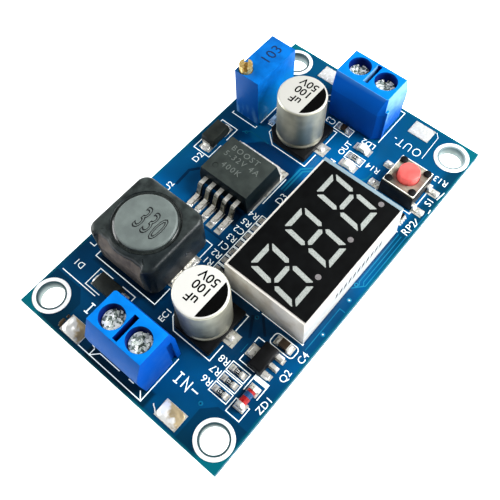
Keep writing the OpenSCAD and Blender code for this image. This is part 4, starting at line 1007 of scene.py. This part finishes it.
def inductor_form():
    """The pressed shield, the core with its end in the mouth, and the glue between them."""
    top = shield_high.z
    rays = [(math.cos(math.tau * k / RAYS), math.sin(math.tau * k / RAYS)) for k in range(RAYS)]

    def square(inset, z):
        """A loop of the rounded square, cut back at the input's end near the top, where a barrel shows."""
        half, corner = SHIELD_HALF - inset, SHIELD_CORNER - inset * CORNER_LOSS
        flat = half - corner
        fade = min(1.0, max(0.0, (z - top + HOLLOW_DEPTH) / (HOLLOW_DEPTH - SHIELD_EDGE)))
        loop = []
        for dx, dy in rays:
            reach = half / max(abs(dx), abs(dy))
            if min(abs(dx), abs(dy)) * reach > flat:
                along = flat * (abs(dx) + abs(dy))
                reach = along + math.sqrt(along ** 2 - 2 * flat ** 2 + corner ** 2)
            x, y = dx * reach, dy * reach
            if x < -flat and abs(y) < HOLLOW_HALF:
                ease = min(1.0, (HOLLOW_HALF - abs(y)) / HOLLOW_RUN)
                barrel = SHIELD_HALF - math.sqrt(BARREL_R ** 2 - y ** 2)
                x += min(HOLLOW, barrel) * ease * ease * (3 - 2 * ease) * fade
            loop.append((INDUCTOR_X + x, INDUCTOR_Y + y, z))
        return loop

    def round_loop(radius, z):
        """A round loop with as many points as the square one."""
        return [(INDUCTOR_X + dx * radius, INDUCTOR_Y + dy * radius, z) for dx, dy in rays]

    loops = [square(FOOT_INSET, shield_low.z), square(0.0, shield_low.z + SHIELD_FOOT)]
    loops.append(square(0.0, top - HOLLOW_DEPTH))
    loops += [square(SHIELD_EDGE * (1 - c), top - SHIELD_EDGE * (1 - s)) for s, c in quarter()]
    loops += [round_loop(MOUTH_R + MOUTH_EDGE * c, top - MOUTH_EDGE * s) for c, s in reversed(quarter(3))]
    loops += [round_loop(MOUTH_R, top - MOUTH_DEEP), round_loop(MOUTH_R, shield_low.z)]
    Shape().add(*loft(loops, closed=True)).piece(
        "inductor_shield_pressed", "ferrite", "shield", ("inductor_shield",), PRESSED_CREASE)

    end, ledge = core_high.z, core_low.z + CORE_FOOT
    profile = ((CORE_FOOT_R, core_low.z), (CORE_FOOT_R, ledge), (CORE_STEM_R, ledge + CORE_SLOPE),
               (CORE_STEM_R, end - DISC_THICK - CORE_SLOPE), (DISC_R - CORE_LIP, end - DISC_THICK))
    foot = [round_loop(r, z) for r, z in profile]
    rim = [round_loop(DISC_R - DISC_EDGE * (1 - c), end - DISC_EDGE * (1 - s)) for s, c in quarter()]
    Shape().add(*loft(foot + rim)).piece(
        "inductor_core_end", "ferrite", "core", ("inductor_core",), PRESSED_CREASE)

    glue = []
    for radius, drop, wander in (
            (DISC_R - 0.05, 0.9, 0.0), (DISC_R - 0.02, 0.0, 0.05), (DISC_R + 0.2, 0.08, 0.1),
            (MOUTH_R - 0.22, 0.16, 0.1), (MOUTH_R - 0.02, 0.12, 0.05), (MOUTH_R - 0.02, 0.9, 0.0)):
        glue.append([(x, y, z + wander * noise.noise(Vector((x, y, radius)) * GLUE_LUMPS_PER_MM))
                     for x, y, z in hoop(INDUCTOR_X, INDUCTOR_Y, top - drop, radius, 18)])
    Shape().add(*loft(glue, closed=True)).piece("inductor_glue", "ferrite", "glue", crease=SOLDER_CREASE)


inductor_form()

# Printing on the parts

INK = 0.012


def can_print(side):
    """A black sector at the display's side of a can's lid, and its value in plain numbers."""
    x, y = centre(f"{side}_capacitor_can").xy
    z = span(f"{side}_capacitor_can")[1].z
    radius, chord, steps = 3.62, -1.72, 28
    letter_high, letter_line, letter_y = 1.35, 0.24, y + 0.4
    start = math.asin(chord / radius)
    sweep = -math.pi - 2 * start
    turns = [start + sweep * k / steps for k in range(steps + 1)]
    rim = [(x + radius * math.cos(a), y + radius * math.sin(a)) for a in turns]
    shape = Shape().add(*loft([[(px, py, h) for px, py in rim] for h in (z, z + INK)]))
    for word, step in (("uF", -1.55), ("100", 0.4), ("50V", 2.15)):
        shape.add(*lettering(word, letter_high, (x + step, letter_y), 90, z, z + INK, letter_line))
    shape.piece(f"{side}_capacitor_print", "black_plastic", "print_black")


for side in SIDES:
    can_print(side)

number_at = (INDUCTOR_X + 0.2, INDUCTOR_Y - 0.87)
core_print = lettering("330", 3.75, number_at, -90, core_high.z - 0.01, core_high.z + 0.03, 0.22, 1.1,
                       hollow=True, narrow=0.5)
Shape().add(*core_print).piece("inductor_number", "ferrite", "core_mark")

regulator_top = span("regulator_body")[1].z
marks = Shape()
for word, x, y in (("BOOST", 6.0, 8.2), ("5-32V 4A", 4.5, 7.8), ("400K", 2.6, 8.4)):
    marks.add(*lettering(word, 1.0, (x, y), -90, regulator_top, regulator_top + INK, 0.14, 1.25))
marks.piece("regulator_marking", "black_plastic", "epoxy_mark")

trimmer_top = span("trimmer_housing")[1].z
trimmer_number = lettering("103", 1.8, (20.9, 15.2), 0, trimmer_top, trimmer_top + INK, 0.27, 1.1)
Shape().add(*trimmer_number).piece("trimmer_number", "trimmer_blue", "trimmer_mark")

resistor_marks = Shape()
for low, high in solids("resistor_bodies"):
    middle = (low + high) / 2
    resistor_marks.add(*lettering("102", 0.42, (middle.x, middle.y), 90, high.z, high.z + INK, 0.07, 1.1))
resistor_marks.piece("resistor_numbers", "white_plastic", "resistor_mark")

# Silkscreen

PRINT_LOW, SILK_HIGH = TOP - 0.005, TOP + 0.02
SILK_LINE = 0.16
ROW_X, ROW_PITCH, ROW_Y, ROW_WORD_Y = -10.4, 1.79, -0.8, 1.95
CHIP_HALF = (0.8, 1.6)

silk = Shape()


def silk_line(*path, loop=False, width=SILK_LINE):
    """A line along points on the board."""
    silk.add(*ribbon(path, width, PRINT_LOW, SILK_HIGH, loop))


def silk_box(x0, y0, x1, y1):
    """A closed outline."""
    silk_line(*box_path(x0, y0, x1, y1), loop=True)


def silk_bracket(open_x, y0, wall_x, y1):
    """An outline of three sides, open at one end along X."""
    silk_line((open_x, y0), (wall_x, y0), (wall_x, y1), (open_x, y1))


def chip_outline(x, y):
    """The outline round a chip part."""
    silk_box(x - CHIP_HALF[0], y - CHIP_HALF[1], x + CHIP_HALF[0], y + CHIP_HALF[1])


def silk_word(word, x, y, reading=0, height=1.1, spacing=1.0, narrow=1.0):
    """A word with its middle at a place on the board."""
    silk.add(*lettering(word, height, (x, y), reading, PRINT_LOW, SILK_HIGH, SILK_LINE, spacing,
                        narrow=narrow))


DRAWN_HIGH, DRAWN_WIDE, DRAWN_PITCH, DRAWN_LINE = 1.62, 0.95, 1.54, 0.21
DRAWN = {
    "I": (((0, -0.5), (0, 0.5)), ((-0.4, -0.5), (0.4, -0.5)), ((-0.4, 0.5), (0.4, 0.5))),
    "N": (((-0.5, -0.5), (-0.5, 0.5), (0.5, -0.5), (0.5, 0.5)),),
    "-": (((-0.6, 0), (0.6, 0)),),
    "+": (((-0.6, 0), (0.6, 0)), ((0, -0.36), (0, 0.36))),
}


def drawn_word(word, x, y):
    """Large letters of plain strokes that read along -Y, the middle of the first at the place given."""
    for place, letter in enumerate(word):
        middle = y - place * DRAWN_PITCH
        for stroke in DRAWN[letter]:
            path = [(x + up * DRAWN_HIGH, middle - across * DRAWN_WIDE) for across, up in stroke]
            silk_line(*path, width=DRAWN_LINE)


# Terminals
silk_line((-31.2, 5.5), (-30.7, 7.75), (-32.45, 7.75), (-32.45, -5.05), (-24.6, -5.05))
silk_line((-32.45, 5.35), (-31.3, 5.35))
silk_line((-32.45, 5.3), (-31.33, 4.2), (-31.33, 0.2))
silk_line((-31.3, -1.6), (-31.3, -2.6))
silk_line((-31.4, -4.0), (-32.4, -5.0))
silk_line((25.6, 5.35), (32.6, 5.35), (32.6, -5.25), (24.6, -5.25))
silk_line((26.5, -12.7), (31.8, -12.5), (32.6, -11.75), width=0.09)
# Capacitors, with the corner cut at the plus end
silk_line((-19.0, -8.6), (-22.0, -8.6), (-22.0, -1.5), (-20.4, 0.1), (-19.0, 0.3))
silk_line((-16.2, -8.55), (-13.27, -8.55), (-13.27, 0.4), (-15.6, 0.4))
silk_line((15.9, 1.4), (12.85, 1.4), (12.85, 8.3), (14.6, 10.4), (15.9, 10.4))
silk_line((18.6, 1.4), (21.8, 1.4), (21.8, 10.4), (18.8, 10.4))
# Inductor, open at its clips
silk_bracket(-17.5, 3.45, -20.8, 16.15)
silk_bracket(-11.0, 3.45, -7.85, 16.15)
# Regulator, rectifiers and trimmer
silk_line((2.9, 2.15), (8.9, 2.15))
silk_line((7.2, 14.9), (4.1, 14.9), (4.1, 18.3), (11.45, 18.3), (11.45, 14.9), (8.6, 14.9))
silk_line((-25.1, 10.9), (-25.1, 13.95), (-21.85, 13.95), (-21.85, 11.2))
silk_line((-25.1, 9.3), (-25.1, 6.5), (-21.85, 6.5), (-21.85, 9.2))
silk_line((-25.6, 11.3), (-25.6, 18.5))
silk_bracket(14.2, 18.0, 13.75, 12.8)
silk_bracket(15.1, 12.75, 24.7, 18.0)
# Display and push button
silk_line((-11.62, -9.3), (-11.62, -2.25), (12.45, -2.25), (12.45, -17.4))
silk_line((-11.4, -17.4), (-11.62, -17.4), (-11.62, -9.75))
silk_box(16.35, -17.0, 23.15, -10.2)
# Chip parts, the last with a rounded outline
for i, word in enumerate(("R1", "R2", "C1", "R3", "C2", "R5", "R4")):
    x = ROW_X + i * ROW_PITCH
    chip_outline(x, ROW_Y)
    silk_word(word, x, ROW_WORD_Y, 90)
for x, y, word, label_x, label_y in (
        (-24.35, -12.85, "R6", -24.35, -10.15), (-22.47, -12.85, "R7", -22.47, -10.15),
        (-20.59, -12.85, "R8", -20.59, -10.15), (23.1, 0.85, "C3", 23.2, 3.7),
        (19.4, -4.1, "R14", 19.7, -7.5), (24.3, -13.6, "R13", 24.7, -17.5)):
    chip_outline(x, y)
    silk_word(word, label_x, label_y, 90)
silk_line(*(point[:2] for point in ring(-13.4, -15.4, 0, 1.0, 2.1, 0.6, 4)), loop=True)
# Transistor, glass diode and resistor array
silk_line((-19.1, -14.6), (-19.1, -11.75), (-18.1, -11.75))
silk_line((-15.7, -11.75), (-14.75, -11.75), (-14.75, -12.9))
silk_box(-25.8, -17.4, -23.55, -15.0)
silk_bracket(-22.0, -15.0, -19.3, -17.4)
silk_line((-19.65, -15.0), (-19.65, -17.4), width=0.6)
silk_line((15.5, -19.0), (16.2, -18.2))
silk_line((18.3, -19.3), (19.1, -19.2))
silk_line((21.3, -18.95), (23.2, -19.2))
# Words, the input's with footed strokes
drawn_word("IN-", -26.58, -6.88)
drawn_word("IN+", -27.46, 10.48)
for row in (
        ("OUT", 20.15, -1.55, 0, 1.0), ("IN", 16.3, -1.55, 0, 1.0), ("EC1", -21.1, 1.1, 0, 0.95),
        ("EC2", 16.9, 11.2, 0, 0.95), ("D1", -23.4, 17.0, 90, 1.05), ("L1", -19.3, 18.0),
        ("U2", -4.3, 16.2, 0, 1.05), ("D2", 2.95, 16.35, 0, 1.1, 1.1), ("D3", 5.5, 0.4, 0, 1.2),
        ("ZD1", -22.0, -18.65, -4, 0.98, 1.05), ("Q2", -16.8, -18.4, 0, 1.05),
        ("C4", -13.1, -18.6, 0, 1.05), ("S1", 20.05, -18.25), ("LD2", 23.3, -4.1, 90, 1.05),
        ("LD1", 16.0, -4.1, 90, 1.05), ("RP2", 14.2, -18.4, -4, 1.2, 1.05),
        ("OUT-", 27.0, -9.4, 90, 1.65, 1.2, 0.82), ("OUT+", 27.0, 9.0, 90, 1.65, 1.2, 0.82)):
    silk_word(*row)
silk.piece("silkscreen", "board", "silk")

# Copper under the mask: raised tracks, the gaps beside them, and vias

COPPER_HIGH, GAP_HIGH = TOP + 0.03, TOP + 0.008
VIA_R, VIA_TOP_R, VIA_HOLE_R, VIA_HIGH, VIA_FILL = 0.36, 0.32, 0.15, TOP + 0.035, TOP + 0.01
SOLDERED_VIAS = ((-1.7, -18.4), (-8.5, -18.65))
OPEN_VIAS = ((1.0, -17.75), (-27.3, -11.7), (-12.6, -9.6), (13.9, -6.0), (12.1, 13.4))
tracks, gaps = Shape(), Shape()
for width, path in (
        (0.14, ((1.2, -18.15), (1.75, -17.8), (12.2, -17.8))),
        (0.14, ((1.5, -18.7), (2.1, -18.35), (12.1, -18.35))),
        (0.16, ((0.1, -17.5), (1.7, -18.95), (12.6, -18.95), (12.9, -19.15), (18.2, -19.15))),
        (0.14, ((-12.0, -18.15), (-3.7, -18.15), (-3.7, -19.1))),
        (0.3, ((6.9, 1.55), (12.0, 1.55), (13.6, -0.05))),
        (0.3, ((6.9, 1.0), (11.8, 1.0), (13.1, -0.35))),
        (0.24, ((11.7, 14.0), (12.65, 12.95), (12.6, 8.9))),
        (0.3, ((14.0, -6.6), (15.6, -6.6), (17.4, -8.0), (19.0, -8.0))),
        (0.3, ((13.6, -7.4), (15.2, -7.4), (16.8, -8.9))),
        (0.12, ((-18.15, -11.2), (-16.5, -11.2)))):
    tracks.add(*ribbon(path, width, PRINT_LOW, COPPER_HIGH))
for width, path in (
        (0.2, ((-11.3, -17.44), (12.1, -17.44))),
        (0.45, ((-7.4, 13.4), (-6.3, 13.4), (-6.3, 11.9), (-5.9, 11.5))),
        (0.3, ((-7.3, 1.6), (-6.3, 2.6), (-6.3, 10.5))),
        (0.45, ((-12.7, -8.9), (-15.7, -10.8))),
        (0.4, ((-11.8, -10.1), (-14.1, -12.4))),
        (0.5, ((-3.3, 15.5), (0.1, 15.7), (1.5, 14.6)))):
    gaps.add(*ribbon(path, width, PRINT_LOW, GAP_HIGH))
for x, y in SOLDERED_VIAS + OPEN_VIAS:
    collar = ((TOP, VIA_R), (VIA_HIGH, VIA_TOP_R), (VIA_HIGH, VIA_HOLE_R), (TOP, VIA_HOLE_R))
    tracks.add(*loft([hoop(x, y, z, r, 5) for z, r in collar], True))
    gaps.add(*loft([hoop(x, y, z, VIA_HOLE_R, 5) for z in (TOP, VIA_FILL)]))
tracks.piece("copper_tracks", "board", "track")
gaps.piece("copper_gaps", "board", "gap")

# Mounting holes: a white ring on both faces, and walls with a dark line at the mouth

LAND_LOW, LAND_TOP = (corner.z for corner in span("tinned_pads"))
HOLE_X, HOLE_Y, HOLE_R, HOLE_RING = 29.75, 16.4, 2.1, 2.94
WALL, MOUTH, RING_EDGE = 0.05, 0.24, 0.02
rings, walls = Shape(), Shape()
for x, y in ((sx * HOLE_X, sy * HOLE_Y) for sx in (-1, 1) for sy in (-1, 1)):
    for face, lift in ((LAND_TOP, INK), (LAND_LOW, -INK)):
        white = ((face, HOLE_RING), (face + lift, HOLE_RING - RING_EDGE),
                 (face + lift, HOLE_R + MOUTH), (face, HOLE_R + MOUTH))
        rings.add(*loft([hoop(x, y, z, r) for z, r in white], True))
    wall = ((LAND_LOW, HOLE_R + MOUTH), (LAND_LOW - INK, HOLE_R), (LAND_LOW, HOLE_R - WALL),
            (LAND_TOP, HOLE_R - WALL), (LAND_TOP + INK, HOLE_R), (LAND_TOP, HOLE_R + MOUTH))
    walls.add(*loft([hoop(x, y, z, r) for z, r in wall], True))
rings.piece("hole_rings", "board", "ring")
walls.piece("hole_walls", "board", "hole_edge")

# Solder on the wire pads and at the foot of each lead

PAD_WIDE, PAD_LONG, PAD_EDGE = (2.0, 3.5), (3.4, 4.6), Vector((0.06, 0.06, 0))
SOLDER_LOW, VIA_SOLDER_LOW, VIA_SOLDER_R, VIA_SOLDER_RISE = LAND_TOP - 0.02, TOP - 0.02, 0.13, 0.08
SPLASH_WIDE, SPLASH_HIGH = 0.16, TOP + 0.1
FLUX_LOW, FLUX_RISE, FLUX_LUMP = TOP - 0.01, 0.08, 0.06
SIDE_REACH, FILLET_LUMP, FILLET_STEPS = 0.1, 0.05, 6
wire_pads = [(low, high) for low, high in solids("tinned_pads") if high.z > TOP
             and PAD_WIDE[0] < high.x - low.x < PAD_WIDE[1] and PAD_LONG[0] < high.y - low.y < PAD_LONG[1]]
used_solder, clean_solder = Shape(), Shape()
for low, high in wire_pads:
    middle, half = (low + high) / 2, (high - low) / 2 - PAD_EDGE
    shape, rise, lump = (used_solder, 0.22, 0.2) if middle.x < 0 else (clean_solder, 0.1, 0.03)
    shape.add(*pillow(middle.x, middle.y, half.x, half.y, SOLDER_LOW, rise, lump, 12))
for x, y in SOLDERED_VIAS:
    clean_solder.add(*pillow(x, y, VIA_SOLDER_R, VIA_SOLDER_R, VIA_SOLDER_LOW, VIA_SOLDER_RISE))
splash = ((-32.3, -7.75), (-31.9, -7.3), (-31.7, -6.9), (-31.5, -6.7))
used_solder.add(*ribbon(splash, SPLASH_WIDE, TOP, SPLASH_HIGH))
used_solder.piece("input_pad_solder", "solder", "pad_solder", crease=SOLDER_CREASE)
clean_solder.piece("output_pad_solder", "solder", "solder", crease=SOLDER_CREASE)
flux = Shape()
for x, y, half_x, half_y in ((-31.5, 12.1, 0.55, 0.3), (-32.1, 11.7, 0.25, 0.5), (-30.4, 12.0, 0.3, 0.22)):
    flux.add(*pillow(x, y, half_x, half_y, FLUX_LOW, FLUX_RISE, FLUX_LUMP))
flux.piece("flux_residue", "solder", "flux", crease=SOLDER_CREASE)

fillets = Shape()
for leads, bodies, reach, share in (
        ("resistor_ends", "resistor_bodies", 0.15, 0.5),
        ("chip_capacitor_ends", "chip_capacitor_bodies", 0.15, 0.5),
        ("rectifier_leads", "rectifier_bodies", 0.8, 0.25),
        ("glass_diode_caps", "glass_diode_tubes", 0.35, 0.35),
        ("switch_legs", "switch_base", 0.6, 0.45),
        ("regulator_leads", "regulator_body", 0.5, 0.16),
        ("transistor_leads", "transistor_body", 0.4, 0.9),
        ("input_capacitor_leads", "input_capacitor_base", 0.5, 1.2),
        ("output_capacitor_leads", "output_capacitor_base", 0.5, 1.2),
        ("array_ends", "array_body", 0.15, 0.8),
        ("inductor_clips", "inductor_shield", 0.35, 0.6)):
    middles = [(low + high) / 2 for low, high in solids(bodies)]
    for low, high in solids(leads):
        middle = (low + high) / 2
        away = middle - min(middles, key=lambda m: (m - middle).length)
        half = (high - low) / 2
        rise = share * (high.z - low.z)
        if abs(away.x) > abs(away.y):
            end = (middle.x + math.copysign(half.x, away.x), middle.y, reach, half.y + SIDE_REACH)
        else:
            end = (middle.x, middle.y + math.copysign(half.y, away.y), half.x + SIDE_REACH, reach)
        fillets.add(*pillow(*end, SOLDER_LOW, rise, FILLET_LUMP, FILLET_STEPS))
fillets.piece("solder_fillets", "solder", "solder", crease=SOLDER_CREASE)

# Camera at the photograph's viewing point, its axes as rightward, downward and forward directions

CAMERA_AT = Vector((-36.94, -30.57, 87.3 + TOP))
RIGHTWARD = Vector((0.6453, -0.7638, -0.0153))
DOWNWARD = Vector((-0.6889, -0.5731, -0.4438))
FORWARD = Vector((0.3302, 0.2969, -0.896))
camera_data = bpy.data.cameras.new("camera")
camera_data.sensor_width, camera_data.lens = 36.0, 45.14
camera_data.clip_start, camera_data.clip_end = 0.005, 10.0
camera = new_object("camera", camera_data)
axes = Matrix((RIGHTWARD, -DOWNWARD, -FORWARD)).transposed()
camera.matrix_world = Matrix.Translation(CAMERA_AT * MM) @ axes.to_4x4()
scene.camera = camera

# Studio: two soft lights, a sky that dims upward and more so at the input's side, and a pale floor


def soft_box(name, at, aim, size, watts):
    """A square studio light, its place and size in millimetres."""
    data = bpy.data.lights.new(name, "AREA")
    data.size, data.energy = size * MM, watts
    lamp = new_object(name, data)
    lamp.location = Vector(at) * MM
    lamp.rotation_mode = "QUATERNION"
    lamp.rotation_quaternion = (Vector(aim) - Vector(at)).to_track_quat("-Z", "Y")


soft_box("right_light", (100, -120, 140), (8, 0, 5), 120, 0.6)
soft_box("back_light", (-120, 260, 150), (0, 0, 5), 150, 0.5)

world = bpy.data.worlds.new("studio")
scene.world = world
world.use_nodes = True
sky = Nodes(world.node_tree)
toward = sky.node("ShaderNodeTexCoord", {}, {}, "Generated")
outward, upward = (sky.node("ShaderNodeSeparateXYZ", {}, {0: toward}, axis) for axis in "XZ")
LOW_SKY = 0.19
input_side = sky.rise(outward * -1, 0.1, 0.7, 0.5) * (upward > LOW_SKY)
glow = sky.band(upward, (LOW_SKY, 1.2), (0.26, 0.7), (0.75, 0.19))
backdrop = world.node_tree.nodes["Background"]
sky.put(backdrop.inputs["Color"], glow * (1 - input_side))
sky.put(backdrop.inputs["Strength"], 0.8)
scene.view_settings.view_transform = "Standard"
scene.view_settings.look = "Medium High Contrast"

FLOOR_HALF = 3.0
floor_mesh = bpy.data.meshes.new("studio_floor")
floor_corners = [(x, y, 0) for x, y in box_path(-FLOOR_HALF, -FLOOR_HALF, FLOOR_HALF, FLOOR_HALF)]
floor_mesh.from_pydata(floor_corners, [], [[0, 1, 2, 3]])
floor = new_object("studio_floor", floor_mesh)
paper = Finish("studio_paper")
tooth = paper.cloud(4.0, 3.0)
paper.set(Base_Color=paper.band(tooth, (0.3, "fbfbfb"), (0.7, "ffffff")),
          Roughness=0.9 + (tooth - 0.5) * 0.05,
          Emission_Color="ffffff", Emission_Strength=0.95)
floor_mesh.materials.append(paper.material)
floor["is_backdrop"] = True

low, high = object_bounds()
